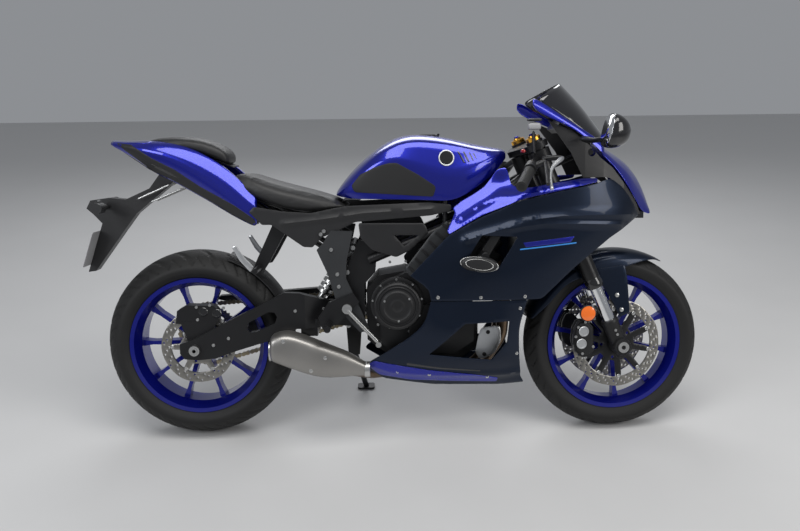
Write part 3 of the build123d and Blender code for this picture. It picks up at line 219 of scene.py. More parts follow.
materials = {
    "bluePaint": flakePaint("bluePaint", (0.001, 0.002, 0.17), (0.004, 0.014, 0.42), 0.28, 1.0),
    "wheelBlue": flakePaint("wheelBlue", (0.002, 0.003, 0.13), (0.004, 0.012, 0.34), 0.34, 0.6),
    "navyPaint": flakePaint("navyPaint", (0.0026, 0.0036, 0.0075), (0.007, 0.018, 0.045), 0.32, 0.25),
    "blackPlastic": plainFinish("blackPlastic", (0.009, 0.009, 0.010), 0.44, grainScale=1400.0, grainDepth=0.25),
    "blackGloss": plainFinish("blackGloss", (0.008, 0.008, 0.009), 0.12, coat=0.6, grainDepth=0),
    "blackMetal": plainFinish("blackMetal", (0.010, 0.010, 0.011), 0.34, metal=0.3, grainScale=1200.0, grainDepth=0.10),
    "castBlack": plainFinish("castBlack", (0.012, 0.012, 0.013), 0.44, metal=0.35, grainScale=520.0, grainDepth=0.35),
    "greyMetal": plainFinish("greyMetal", (0.050, 0.052, 0.055), 0.38, metal=0.6, grainScale=700.0, grainDepth=0.12),
    "castSilver": plainFinish("castSilver", (0.55, 0.56, 0.57), 0.36, metal=0.9, grainScale=600.0, grainDepth=0.2),
    "steel": plainFinish("steel", (0.56, 0.56, 0.55), 0.28, metal=1.0, grainScale=1600.0, grainDepth=0.06),
    "discSteel": plainFinish("discSteel", (0.27, 0.26, 0.24), 0.32, metal=1.0, mottle=0.18, grainScale=1400.0, grainDepth=0.1),
    "chainGold": plainFinish("chainGold", (0.42, 0.36, 0.24), 0.32, metal=1.0, grainScale=1600.0, grainDepth=0.06),
    "goldCap": plainFinish("goldCap", (0.80, 0.42, 0.06), 0.24, metal=1.0, grainDepth=0),
    "stripeBlue": plainFinish("stripeBlue", (0.02, 0.22, 0.62), 0.3, coat=0.6, grainDepth=0),
    "chrome": plainFinish("chrome", (0.78, 0.79, 0.80), 0.08, metal=1.0, mottle=0.03, roughSpread=0.02, grainDepth=0),
    "mufflerGrey": plainFinish("mufflerGrey", (0.30, 0.29, 0.275), 0.36, metal=0.85, grainScale=900.0, grainDepth=0.1),
    "headerSteel": plainFinish("headerSteel", (0.16, 0.115, 0.08), 0.32, metal=1.0, mottle=0.4, mottleScale=9.0, grainDepth=0.1),
    "tyreRubber": plainFinish("tyreRubber", (0.009, 0.009, 0.009), 0.62, grainScale=700.0, grainDepth=0.35, specular=0.35),
    "gripRubber": plainFinish("gripRubber", (0.012, 0.012, 0.012), 0.6, grainScale=900.0, grainDepth=0.3),
    "seatVinyl": plainFinish("seatVinyl", (0.009, 0.009, 0.0095), 0.5, grainScale=420.0, grainDepth=0.5),
    "smoked": plainFinish("smoked", (0.006, 0.006, 0.008), 0.06, coat=1.0, grainDepth=0, mottle=0.05, roughSpread=0.01),
    "lampClear": plainFinish("lampClear", (0.55, 0.57, 0.6), 0.1, coat=1.0, grainDepth=0),
    "redLens": plainFinish("redLens", (0.30, 0.008, 0.008), 0.14, coat=1.0, grainDepth=0),
    "orangeLens": plainFinish("orangeLens", (0.85, 0.16, 0.01), 0.18, coat=1.0, grainScale=500.0, grainDepth=0.3),
    "padRubber": plainFinish("padRubber", (0.007, 0.007, 0.0075), 0.55, grainScale=500.0, grainDepth=0.5),
    "plateGrey": plainFinish("plateGrey", (0.30, 0.30, 0.31), 0.5, grainDepth=0.08),
    "paleFloor": plainFinish("paleFloor", (0.55, 0.55, 0.55), 0.55, mottle=0.03, mottleScale=3.0, grainScale=120.0,
                             grainDepth=0.08),
}

# What each CAD node that stays in view is made of
nodeFinish = {
    "rear_rim": "wheelBlue", "front_rim": "wheelBlue", "rear_tyre": "tyreRubber", "front_tyre": "tyreRubber",
    "rear_disc": "discSteel", "front_discs": "discSteel", "rear_sprocket": "steel", "chain": "steel",
    "swingarm": "blackMetal", "rear_axle": "steel", "front_axle": "steel", "rear_caliper": "blackMetal",
    "front_calipers": "blackMetal", "chain_guard": "blackPlastic", "crankcase": "castBlack",
    "engine_covers": "castBlack", "cylinders": "castBlack", "exhaust_header": "headerSteel", "muffler": "mufflerGrey",
    "radiator": "blackMetal", "main_frame": "blackMetal", "frame_braces": "greyMetal", "subframe": "blackMetal",
    "rear_shock": "steel", "fuel_tank": "bluePaint", "fuel_cap": "blackMetal", "rider_seat": "seatVinyl",
    "pillion_seat": "seatVinyl", "tail_fairing": "bluePaint", "tail_underside": "blackPlastic",
    "tail_light": "redLens", "plate_hanger": "blackPlastic", "licence_plate": "plateGrey",
    "side_panels": "blackPlastic", "nose_cowl": "bluePaint", "windscreen": "smoked", "headlight": "smoked",
    "side_fairings": "navyPaint", "fairing_tops": "bluePaint", "lower_fairing": "navyPaint", "dash": "blackPlastic",
    "mirrors": "blackPlastic", "footrests": "blackMetal", "foot_controls": "steel", "crash_pads": "blackPlastic",
    "side_stand": "blackMetal", "triple_clamps": "blackMetal", "fork_tubes": "blackMetal", "fork_legs": "chrome",
    "front_fender": "navyPaint", "clip_on_bars": "blackMetal", "grips": "gripRubber", "hand_controls": "blackPlastic",
    "brake_hoses": "gripRubber", "cowl_liners": "blackPlastic",
}
for nodeName, nodeObject in frame["nodes"].items():
    nodeObject.data.materials.clear()
    nodeObject.data.materials.append(materials[nodeFinish[nodeName]])
print("materials:", len(materials))


# Mesh helpers
def addPiece(name, verts, faces, material, body="chassis", replaces=(), place=bikeFrame, smooth=40.0, slot=None,
             modifiers=(), slots=None, creases=()):
    mesh = bpy.data.meshes.new(name)
    mesh.from_pydata([tuple(place @ Vector(v)) for v in verts], [], faces)
    if slots:
        mesh.polygons.foreach_set("material_index", slots)
    if creases:
        wanted = {tuple(sorted(pair)): sharp for pair, sharp in creases.items()}
        values = [wanted.get(tuple(sorted(edge.vertices)), 0.0) for edge in mesh.edges]
        mesh.attributes.new("crease_edge", "FLOAT", "EDGE").data.foreach_set("value", values)
    return finishPiece(mesh, name, material, body, replaces, smooth, modifiers)


def finishPiece(mesh, name, material, body="chassis", replaces=(), smooth=40.0, modifiers=()):
    mesh.validate()
    mesh.shade_smooth()
    mesh.set_sharp_from_angle(angle=math.radians(smooth))
    for one in material if isinstance(material, (list, tuple)) else [material]:
        mesh.materials.append(materials[one])
    piece = bpy.data.objects.new(name, mesh)
    bpy.context.scene.collection.objects.link(piece)
    for kind, settings in modifiers:
        modifier = piece.modifiers.new(kind, kind)
        for key, value in settings.items():
            setattr(modifier, key, value)
    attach(piece, body)
    if replaces:
        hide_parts(*replaces)
    return piece


def rounded(points, corner=6.0, step=8.0):
    # an outline of (x, z) or (x, z, corner radius) points, its corners rounded and its runs cut into even steps
    path = []
    for number, point in enumerate(points):
        here, before = Vector(point[:2]), Vector(points[number - 1][:2])
        after = Vector(points[(number + 1) % len(points)][:2])
        radius = point[2] if len(point) > 2 else corner
        start = here + (before - here).normalized() * min(radius, (before - here).length * 0.45)
        end = here + (after - here).normalized() * min(radius, (after - here).length * 0.45)
        bends = 2 + int(radius / 4)
        path += [start.lerp(here, bend / bends).lerp(here.lerp(end, bend / bends), bend / bends)
                 for bend in range(bends + 1)]
    even = []
    for number, point in enumerate(path):
        after = path[(number + 1) % len(path)]
        pieces = max(1, round((after - point).length / step))
        even += [point.lerp(after, piece / pieces) for piece in range(pieces)]
    return even


def evenRun(points, step=8.0):
    # an open run of (x, z) points cut into even steps
    run = []
    for first, second in zip(points, points[1:]):
        first, second = Vector(first), Vector(second)
        pieces = max(1, round((second - first).length / step))
        run += [first.lerp(second, piece / pieces) for piece in range(pieces)]
    return run + [Vector(points[-1])]


def inside(places, loop):
    # which places lie in a loop
    x, z = places[:, 0], places[:, 1]
    within = np.zeros(len(places), bool)
    for (ax, az), (bx, bz) in zip(loop, [*loop[1:], loop[0]]):
        crosses = (az > z) != (bz > z)
        with np.errstate(divide="ignore", invalid="ignore"):
            within ^= crosses & (x < (bx - ax) * (z - az) / (bz - az) + ax)
    return within


def tiled(outline, holes=(), lines=(), step=9.0):
    # triangles over an outline, with holes left open and edges along given lines
    points, edges = [], []
    for loop in (outline, *holes):
        first = len(points)
        points += list(loop)
        edges += [(first + place, first + (place + 1) % len(loop)) for place in range(len(loop))]
    for line in lines:
        first = len(points)
        points += list(line)
        edges += [(first + place, first + place + 1) for place in range(len(line) - 1)]
    known = np.array([tuple(point) for point in points])
    low, high = known.min(0), known.max(0)
    rows = np.arange(low[1], high[1], step * 0.87)
    lattice = np.array([(x + (row % 2) * step / 2, z) for row, z in enumerate(rows)
                        for x in np.arange(low[0], high[0], step)])
    lattice = lattice[inside(lattice, [tuple(point) for point in outline])]
    near = np.min(np.linalg.norm(lattice[:, None] - known[None], axis=2), axis=1)
    lattice = lattice[near > step * 0.6]
    made = delaunay_2d_cdt(points + [Vector(point) for point in lattice], edges, [], 1, 1e-4)
    places = np.array([tuple(point) for point in made[0]])
    faces = np.array(made[2])
    middles = places[faces].mean(1)
    for hole in holes:
        keep = ~inside(middles, [tuple(point) for point in hole])
        faces, middles = faces[keep], middles[keep]
    corners = places[faces]
    turn = np.cross(corners[:, 1] - corners[:, 0], corners[:, 2] - corners[:, 0])
    faces[turn < 0] = faces[turn < 0][:, ::-1]
    return places, faces


class Skin:  # how far out a panel stands at a place (x, z), through a few known points (x, z, y)
    def __init__(self, known, folds=()):
        known = np.array(known, float)
        self.known, self.folds = known[:, :2] / 100, folds
        count = len(known)
        system = np.zeros((count + 3, count + 3))
        system[:count, :count] = self.kernel(self.known)
        system[:count, count] = system[count, :count] = 1
        system[:count, count + 1:] = self.known
        system[count + 1:, :count] = self.known.T
        self.weights = np.linalg.lstsq(system, np.concatenate([known[:, 2], (0, 0, 0)]), rcond=None)[0]

    def kernel(self, where):
        gap = np.linalg.norm(where[:, None] - self.known[None], axis=2)
        return gap ** 2 * np.log(gap + 1e-9)

    def __call__(self, places):
        where = np.asarray(places, float) / 100
        out = self.kernel(where) @ self.weights[:-3] + self.weights[-3] + where @ self.weights[-2:]
        for line, height, width in self.folds:
            gap = np.full(len(where), 1e9)
            for first, second in zip(line, line[1:]):
                first, along = np.array(first) / 100, (np.array(second) - np.array(first)) / 100
                share = np.clip(((where - first) @ along) / (along @ along), 0, 1)
                gap = np.minimum(gap, np.linalg.norm(where - first - share[:, None] * along, axis=1))
            out += height * np.clip(1 - gap * 100 / width, 0, 1) ** 1.5
        return out


def panel(name, outline, skin, material, holes=(), corner=6.0, step=9.0, thick=3.5, lift=0.0, sides=(-1, 1),
          replaces=(), body="chassis", slot=None, bevel=0.9, smooth=35.0):
    # a sheet on one or both sides of the bike: its outline is seen from the side and its skin says how far out it is
    lines = [evenRun(line, step) for line, height, width in skin.folds] if hasattr(skin, "folds") else []
    edge = rounded(outline, corner, step)
    loop = [tuple(point) for point in edge]
    lines = [part for line in lines for part in insideRuns(line, loop)]
    places, faces = tiled(edge, [rounded(hole, 4.0, step) for hole in holes], lines, step)
    far = skin(places) + lift
    verts, allFaces = [], []
    for side in sides:
        first = len(verts)
        verts += [(x, side * y, z) for (x, z), y in zip(places, far)]
        allFaces += [tuple(first + v for v in (face if side < 0 else face[::-1])) for face in faces.tolist()]
    return addPiece(name, verts, allFaces, material, body, replaces, smooth=smooth, slot=slot, modifiers=[
        ("SOLIDIFY", {"thickness": thick * layout["mm"], "offset": -1}),
        ("BEVEL", {"width": bevel * layout["mm"], "segments": 2, "limit_method": "ANGLE", "angle_limit": 0.9})])


def insideRuns(line, loop):
    # the stretches of a line that lie within a loop
    within = inside(np.array([tuple(point) for point in line]), loop)
    runs, run = [], []
    for point, kept in zip(line, within):
        if kept:
            run.append(point)
        elif run:
            runs.append(run)
            run = []
    runs.append(run)
    return [run for run in runs if len(run) > 1]


def mirrored(half):
    # a section from its middle point out to the left side, made whole
    return [(x, -y, z) for x, y, z in reversed(half[1:])] + list(half)


def cage(name, sections, material, body="chassis", around=False, caps=True, creases=(), levels=2, replaces=(),
         place=bikeFrame, thick=0.0, smooth=60.0, rowCreases=(), extra=()):
    # a smooth form through sections of equal length; creases are places along a section that stay sharp
    wide = len(sections[0])
    verts = [point for section in sections for point in section]
    span = wide if around else wide - 1
    faces = []
    for row in range(len(sections) - 1):
        for step in range(span):
            a, b = row * wide + step, row * wide + (step + 1) % wide
            faces.append((a, b, b + wide, a + wide))
    if caps:
        faces.append(tuple(range(wide))[::-1])
        faces.append(tuple(range(len(verts) - wide, len(verts))))
    sharp = {}
    for step, amount in creases:
        for row in range(len(sections) - 1):
            sharp[(row * wide + step, (row + 1) * wide + step)] = amount
    for row, amount in rowCreases:
        row %= len(sections)
        for step in range(span):
            sharp[(row * wide + step, row * wide + (step + 1) % wide)] = amount
    mesh = bmesh.new()
    made = [mesh.verts.new(place @ Vector(vert)) for vert in verts]
    for face in faces:
        if len(set(face)) > 2:
            mesh.faces.new([made[vert] for vert in face])
    bmesh.ops.recalc_face_normals(mesh, faces=mesh.faces)
    layer = mesh.edges.layers.float.new("crease_edge")
    for (first, second), amount in sharp.items():
        edge = mesh.edges.get((made[first], made[second]))
        if edge:
            edge[layer] = amount
    data = bpy.data.meshes.new(name)
    mesh.to_mesh(data)
    mesh.free()
    modifiers = [("SUBSURF", {"levels": levels, "render_levels": levels})] + list(extra)
    if thick:
        modifiers.append(("SOLIDIFY", {"thickness": thick * layout["mm"], "offset": -1}))
    return finishPiece(data, name, material, body, replaces, smooth, modifiers)


def shape(piece):
    # an object's finished surface, to seat other things on
    tree = BVHTree.FromObject(piece, bpy.context.evaluated_depsgraph_get())
    back = bikeFrame.inverted()

    def far(places, side=-1):
        out = []
        for x, z in places:
            start = bikeFrame @ Vector((x, side * 420, z))
            hit = tree.ray_cast(start, (bikeFrame @ Vector((x, 0, z)) - start).normalized())[0]
            out.append(abs((back @ hit).y) if hit else np.nan)
        out = np.array(out)
        out[np.isnan(out)] = np.nanmin(out)
        return out
    return far


# Fairing: known points are (x, z, y), a fold is (line, height, width)
fairingSkin = Skin([
    (700, 700, 190), (700, 560, 202), (705, 470, 200), (820, 686, 198), (900, 760, 196), (900, 640, 216), (900, 480, 208),
    (1040, 800, 198), (1050, 690, 214), (1060, 560, 210), (1080, 470, 198), (1180, 824, 196), (1180, 740, 204),
    (1180, 640, 200), (1180, 540, 188), (1300, 850, 176), (1300, 740, 182), (1300, 638, 168), (1380, 835, 142),
    (1390, 750, 146), (1390, 690, 136), (1452, 740, 98), (1450, 725, 96),
], folds=[
    ([(880, 676), (991, 708), (1046, 725), (1106, 739), (1179, 746), (1300, 746), (1420, 742)], 9.0, 26.0),
    ([(1010, 708), (1060, 716), (1124, 723), (1244, 720), (1380, 712)], 7.0, 18.0),
])
sideFairing = panel("sideFairing", [
    (824, 688), (929, 745), (1048, 793), (1174, 821), (1290, 843), (1330, 857, 14), (1349, 854), (1382, 831), (1407, 803),
    (1431, 769), (1452, 735, 3), (1385, 693), (1343, 669), (1297, 634), (1232, 584), (1195, 551), (1121, 481, 14),
    (768, 481, 4), (762, 514), (742, 534), (703, 562, 4),
], fairingSkin, "navyPaint", holes=[[(927, 688), (1039, 683), (974, 577), (875, 604)]], replaces=("side_fairings",))

lowerSkin = Skin([
    (540, 330, 150), (545, 255, 124), (620, 207, 118), (600, 300, 160), (700, 350, 180), (760, 474, 198), (780, 300, 184),
    (780, 182, 112), (900, 474, 206), (900, 290, 188), (900, 180, 112), (1000, 474, 204), (1010, 300, 186),
    (1000, 178, 110), (1074, 470, 196), (1054, 330, 178), (1081, 184, 108),
], folds=[([(560, 262), (640, 235), (780, 224), (1000, 222), (1070, 232)], 7.0, 22.0)])
lowerFairing = panel("lowerFairing", [
    (768, 479, 4), (1074, 479, 5), (1050, 388, 30), (1054, 303, 30), (1067, 208), (1081, 184, 5), (997, 178), (779, 182),
    (618, 207), (545, 251, 12), (577, 275), (701, 359, 30), (748, 406, 30),
], lowerSkin, "navyPaint", holes=[[(761, 301), (876, 406), (1018, 411), (1012, 342), (964, 280)]],
    replaces=("lower_fairing",))

topSkin = Skin([
    (820, 700, 192), (840, 740, 170), (846, 760, 160), (900, 730, 194), (905, 812, 150), (960, 860, 134), (965, 765, 194),
    (985, 890, 126), (1013, 896, 124), (1000, 840, 140), (1000, 800, 182), (1026, 842, 146), (1030, 790, 199),
    (1093, 835, 176), (1095, 800, 198), (1180, 852, 172), (1180, 827, 196), (1250, 860, 158), (1250, 845, 180),
    (1300, 860, 152), (1300, 850, 170),
], folds=[([(860, 735), (920, 775), (985, 806), (1050, 812), (1120, 822), (1240, 848)], 6.0, 18.0)])
fairingTop = panel("fairingTop", [
    (826, 692), (820, 702), (838, 737), (847, 757), (841, 770), (869, 792), (905, 812), (942, 836), (965, 862),
    (985, 890, 12), (1013, 896, 8), (1022, 872), (1026, 842, 12), (1052, 831), (1093, 835), (1173, 850), (1247, 859),
    (1300, 860), (1296, 850), (1174, 825), (1048, 797), (929, 749),
], topSkin, "bluePaint", replaces=("fairing_tops",), corner=4.0, step=7.0)

# Black panels under the tank
underSkin = Skin([(232, 730, 130), (261, 762, 130), (354, 672, 132), (500, 779, 131), (500, 730, 134), (772, 788, 131),
                  (771, 746, 136), (838, 770, 134)], folds=[([(300, 726), (420, 738), (560, 757), (780, 768)], 4.0, 14.0)])
underPanel = panel("underPanel", [
    (232, 722), (192, 764), (208, 780), (300, 764), (389, 758), (500, 779), (772, 788), (838, 780), (838, 760), (771, 746),
    (531, 728), (480, 704), (422, 679), (392, 648), (363, 650), (262, 722),
], underSkin, "blackPlastic", replaces=("side_panels",), corner=5.0)
print("side panels done")

# Tank: rows of x and the section's points (y, z) from the top's middle down to the foot, always the same seven
tankRows = [
    (468, (0, 821), (24, 820), (44, 817), (52, 813), (58, 812), (58, 810), (50, 808)),
    (486, (0, 848), (34, 846), (62, 839), (72, 830), (78, 824), (82, 814), (76, 804)),
    (520, (0, 888), (42, 886), (80, 876), (94, 862), (102, 850), (104, 828), (98, 800)),
    (560, (0, 926), (46, 924), (90, 914), (105, 903), (116, 884), (116, 846), (110, 798)),
    (610, (0, 966), (50, 964), (100, 955), (114, 945), (129, 921), (127, 866), (121, 798)),
    (660, (0, 995), (52, 992), (106, 979), (119, 968), (138, 928), (135, 870), (128, 797)),
    (715, (0, 1006), (54, 1004), (109, 991), (122, 979), (144, 907), (142, 858), (135, 796)),
    (780, (0, 1002), (54, 1000), (109, 986), (122, 974), (149, 884), (149, 850), (141, 794)),
    (840, (0, 992), (52, 990), (106, 977), (118, 966), (148, 871), (148, 838), (143, 790)),
    (890, (0, 979), (48, 977), (98, 966), (110, 957), (139, 890), (140, 852), (135, 814)),
    (940, (0, 968), (44, 966), (88, 955), (99, 948), (122, 916), (124, 882), (120, 846)),
    (985, (0, 960), (38, 958), (74, 951), (86, 946), (100, 934), (103, 910), (100, 884)),
    (1012, (0, 955), (30, 954), (54, 949), (64, 945), (72, 938), (74, 926), (72, 912)),
    (1023, (0, 950), (22, 949), (38, 946), (46, 943), (50, 939), (52, 933), (52, 924)),
]
tankSections = []
for x, *half in tankRows:
    left = [(x, y, z) for y, z in half] + [(x, half[-1][0] - 22, half[-1][1] + 3), (x, 0, half[-1][1] + 3)]
    tankSections.append(left + [(x, -y, z) for x, y, z in reversed(left[1:-1])])
tank = cage("tankShell", tankSections, "bluePaint", around=True, replaces=("fuel_tank",),
            creases=[(3, 0.85), (13, 0.85), (4, 0.55), (12, 0.55), (6, 0.9), (10, 0.9)], rowCreases=[(0, 0.6), (-1, 0.7)])


def cutPocket(piece, cutter):
    # a pocket cut into a finished piece, which then has no live modifier
    mesh = bpy.data.meshes.new("cutter")
    mesh.from_pydata([tuple(bikeFrame @ Vector(vert)) for vert in cutter[0]], [], cutter[1])
    tool = bpy.data.objects.new("cutter", mesh)
    bpy.context.scene.collection.objects.link(tool)
    cut = piece.modifiers.new("cut", "BOOLEAN")
    cut.object, cut.operation, cut.solver = tool, "DIFFERENCE", "EXACT"
    whole = bpy.data.meshes.new_from_object(piece.evaluated_get(bpy.context.evaluated_depsgraph_get()))
    whole.name = piece.name
    piece.modifiers.clear()
    piece.data = whole
    bpy.data.objects.remove(tool)
    whole.set_sharp_from_angle(angle=math.radians(40))


capSpot = {"x": 770.0, "radius": 43.0, "floor": 990.0}
cylinderTurns = np.arange(48) * math.tau / 48
cutPocket(tank, (
    [(capSpot["x"] + capSpot["radius"] * math.cos(a), capSpot["radius"] * math.sin(a), z)
     for z in (capSpot["floor"], capSpot["floor"] + 60) for a in cylinderTurns],
    [(a, (a + 1) % 48, (a + 1) % 48 + 48, a + 48) for a in range(48)] + [tuple(range(48))[::-1], tuple(range(48, 96))]))
tankSurface = shape(tank)


def overlay(name, outline, surface, material, lift=1.0, thick=1.6, holes=(), corner=6.0, step=6.0, sides=(-1, 1),
            bevel=0.5, slot=None, body="chassis"):
    # a thin piece that lies on another piece's surface
    loop = rounded(outline, corner, step)
    places, faces = tiled(loop, [rounded(hole, 3.0, step) for hole in holes], [], step)
    far = surface(places) + lift
    verts, allFaces = [], []
    for side in sides:
        first = len(verts)
        verts += [(x, side * y, z) for (x, z), y in zip(places, far)]
        allFaces += [tuple(first + v for v in (face if side < 0 else face[::-1])) for face in faces.tolist()]
    return addPiece(name, verts, allFaces, material, body, slot=slot, modifiers=[
        ("SOLIDIFY", {"thickness": thick * layout["mm"], "offset": -1}),
        ("BEVEL", {"width": bevel * layout["mm"], "segments": 2, "limit_method": "ANGLE", "angle_limit": 0.9})])


padOutline = [(519, 843), (548, 878), (595, 901, 14), (640, 914, 10), (665, 914), (734, 876), (790, 838, 12), (780, 806, 8),
              (640, 815), (528, 821, 10)]
kneePad = overlay("kneePad", padOutline, tankSurface, "padRubber", lift=1.8, thick=2.6, slot="black_plastic")


def ring(x, z, radius, count=40):
    return [(x + radius * math.cos(math.tau * step / count), z + radius * math.sin(math.tau * step / count), 0.1)
            for step in range(count)]


badge = {"x": 823.0, "z": 928.0, "radius": 25.0}
badgeDisc = overlay("badgeDisc", ring(badge["x"], badge["z"], badge["radius"]), tankSurface, "blackGloss", lift=1.6,
                    thick=2.2, step=4.0, slot="aluminium")
badgeRing = overlay("badgeRing", ring(badge["x"], badge["z"], badge["radius"]), tankSurface, "castSilver", lift=2.6,
                    thick=1.6, holes=[ring(badge["x"], badge["z"], badge["radius"] - 3.5)], step=4.0,
                    slot="black_plastic")
slotRows = [((858, 948), (881, 910), 7), ((876, 947), (895, 913), 6), ((895, 945), (909, 917), 5), ((909, 942), (920, 923), 4)]
for number, ((topX, topZ), (lowX, lowZ), wide) in enumerate(slotRows):
    outline = [(topX, topZ), (topX + wide, topZ - 1), (lowX + wide * 0.5, lowZ), (lowX - wide * 0.5, lowZ + 2)]
    overlay(f"tankSlot{number}", outline, tankSurface, "blackGloss", lift=0.5, thick=1.2, corner=1.5, step=4.0,
            slot="black_plastic")
print("tank done")

# Nose and the band under the screen: rows of x and (y, z) from the middle out
noseRows = [
    (1322, (0, 977), (40, 973), (76, 962), (100, 951), (108, 943), (114, 934)),
    (1361, (0, 951), (40, 946), (74, 934), (98, 920), (106, 911), (111, 900)),
    (1395, (0, 930), (36, 924), (66, 910), (88, 891), (97, 877), (103, 859)),
    (1425, (0, 908), (32, 902), (58, 886), (78, 864), (88, 844), (94, 817)),
    (1452, (0, 880), (28, 872), (48, 854), (65, 828), (74, 806), (79, 777)),
    (1474, (0, 849), (24, 840), (40, 822), (54, 796), (60, 772), (64, 745)),
    (1494, (0, 806), (18, 800), (32, 785), (42, 768), (48, 754), (50, 738)),
    (1508, (0, 764), (14, 761), (24, 756), (32, 750), (38, 743), (42, 734)),
]
noseSections = [mirrored([(x, y, z) for y, z in row]) for x, *row in noseRows]
nose = cage("noseShell", noseSections, "bluePaint", caps=False, thick=3.0, replaces=("nose_cowl",),
            creases=[(2, 0.5), (8, 0.5)])
bandRows = [(1092, 150, 1108, 1086), (1106, 148, 1109, 1066), (1164, 140, 1072, 1040), (1227, 130, 1033, 1014),
            (1284, 119, 999, 971), (1330, 108, 968, 930)]
for side, sideName in ((-1, "right"), (1, "left")):
    sections = []
    for x, y, high, low in bandRows:
        section = [(x, side * (y - 8), high), (x, side * (y - 1), high - 2), (x, side * (y + 5), (high + low) / 2),
                   (x, side * (y + 5), low + 2), (x, side * (y - 1), low)]
        sections.append(section)
    cage(f"screenBand_{sideName}", sections, "bluePaint", caps=False, thick=3.0,
         creases=[(1, 0.4), (3, 0.6)])

screenRows = [(1357, 984, 98, 33), (1330, 1018, 112, 52), (1290, 1075, 128, 80), (1245, 1125, 137, 101), (1205, 1165, 138, 116)]
screenSections = []
for x, z, half, drop in screenRows:
    section = []
    for step in range(-6, 7):
        share = step / 6
        down = drop * (1 - math.cos(share * 1.35)) / (1 - math.cos(1.35))
        section.append((x - 0.867 * down, half * math.sin(share * 1.35) / math.sin(1.35), z - 0.498 * down))
    screenSections.append(section)
screen = cage("screenShell", screenSections, "smoked", caps=False, thick=2.6, replaces=("windscreen",), rowCreases=[(0, 1), (-1, 1)])
print("nose done")

# Tail: rows of x and (y, z) from the ridge out and down
tailRows = [
    (-262, (0, 995), (16, 994), (30, 991), (36, 987), (38, 983), (36, 979)),
    (-220, (0, 993), (30, 992), (54, 987), (62, 979), (60, 968), (50, 958)),
    (-160, (0, 994), (44, 993), (74, 986), (88, 968), (84, 944), (68, 924)),
    (-120, (0, 995), (60, 993), (84, 984), (100, 962), (96, 926), (76, 892)),
    (-60, (0, 992), (74, 988), (90, 978), (106, 950), (100, 904), (82, 866)),
    (10, (0, 982), (84, 968), (94, 958), (112, 920), (108, 868), (88, 826)),
    (80, (0, 950), (90, 932), (98, 922), (116, 880), (114, 826), (96, 786)),
    (140, (0, 905), (94, 888), (102, 878), (120, 838), (122, 786), (104, 748)),
    (186, (0, 850), (98, 838), (104, 826), (122, 800), (126, 760), (112, 726)),
    (216, (0, 820), (104, 806), (110, 796), (123, 776), (126, 748), (120, 712)),
]
for side, sideName in ((-1, "right"), (1, "left")):
    sections = [[(x, side * y, z) for y, z in row[1:]] for x, *row in tailRows]
    cage(f"tailShell_{sideName}", sections, "bluePaint", caps=False, thick=3.0, creases=[(2, 0.75), (1, 0.3)],
         replaces=("tail_fairing",) if side < 0 else ())
tailBack = cage("tailBack", [[(x, -y2, z2), (x, -y1, z1), (x, 0, z0 + 2), (x, y1, z1), (x, y2, z2)]
                             for x, (y0, z0), (y1, z1), (y2, z2), *rest in tailRows[:4]], "bluePaint", caps=False, thick=3.0)
print("tail done")

# Small parts set by Geometry Nodes: a mesh of places, each with the way its part faces, carries one part
def scatterTree():
    tree = bpy.data.node_groups.new("scatter", "GeometryNodeTree")
    sockets = [("Geometry", "INPUT", "NodeSocketGeometry"), ("Part", "INPUT", "NodeSocketObject"),
               ("Material", "INPUT", "NodeSocketMaterial"), ("Size", "INPUT", "NodeSocketFloat"),
               ("Geometry", "OUTPUT", "NodeSocketGeometry")]
    for title, way, kind in sockets:
        tree.interface.new_socket(title, in_out=way, socket_type=kind)
    made = {kind: tree.nodes.new(kind) for kind in (
        "NodeGroupInput", "NodeGroupOutput", "GeometryNodeObjectInfo", "GeometryNodeInstanceOnPoints",
        "FunctionNodeAxesToRotation", "GeometryNodeRealizeInstances", "GeometryNodeSetMaterial")}
    facing = {}
    for title in ("facing", "ahead"):
        facing[title] = tree.nodes.new("GeometryNodeInputNamedAttribute")
        facing[title].data_type = "FLOAT_VECTOR"
        facing[title].inputs["Name"].default_value = title
    turn = made["FunctionNodeAxesToRotation"]
    turn.primary_axis, turn.secondary_axis = "Z", "X"
    links = [
        (made["NodeGroupInput"], "Geometry", made["GeometryNodeInstanceOnPoints"], "Points"),
        (made["NodeGroupInput"], "Part", made["GeometryNodeObjectInfo"], "Object"),
        (made["NodeGroupInput"], "Size", made["GeometryNodeInstanceOnPoints"], "Scale"),
        (made["NodeGroupInput"], "Material", made["GeometryNodeSetMaterial"], "Material"),
        (made["GeometryNodeObjectInfo"], "Geometry", made["GeometryNodeInstanceOnPoints"], "Instance"),
        (facing["facing"], "Attribute", turn, "Primary Axis"), (facing["ahead"], "Attribute", turn, "Secondary Axis"),
        (turn, "Rotation", made["GeometryNodeInstanceOnPoints"], "Rotation"),
        (made["GeometryNodeInstanceOnPoints"], "Instances", made["GeometryNodeRealizeInstances"], "Geometry"),
        (made["GeometryNodeRealizeInstances"], "Geometry", made["GeometryNodeSetMaterial"], "Geometry"),
        (made["GeometryNodeSetMaterial"], "Geometry", made["NodeGroupOutput"], "Geometry")]
    for source, out, target, into in links:
        tree.links.new(source.outputs[out], target.inputs[into])
    return tree


scatterNodes = scatterTree()


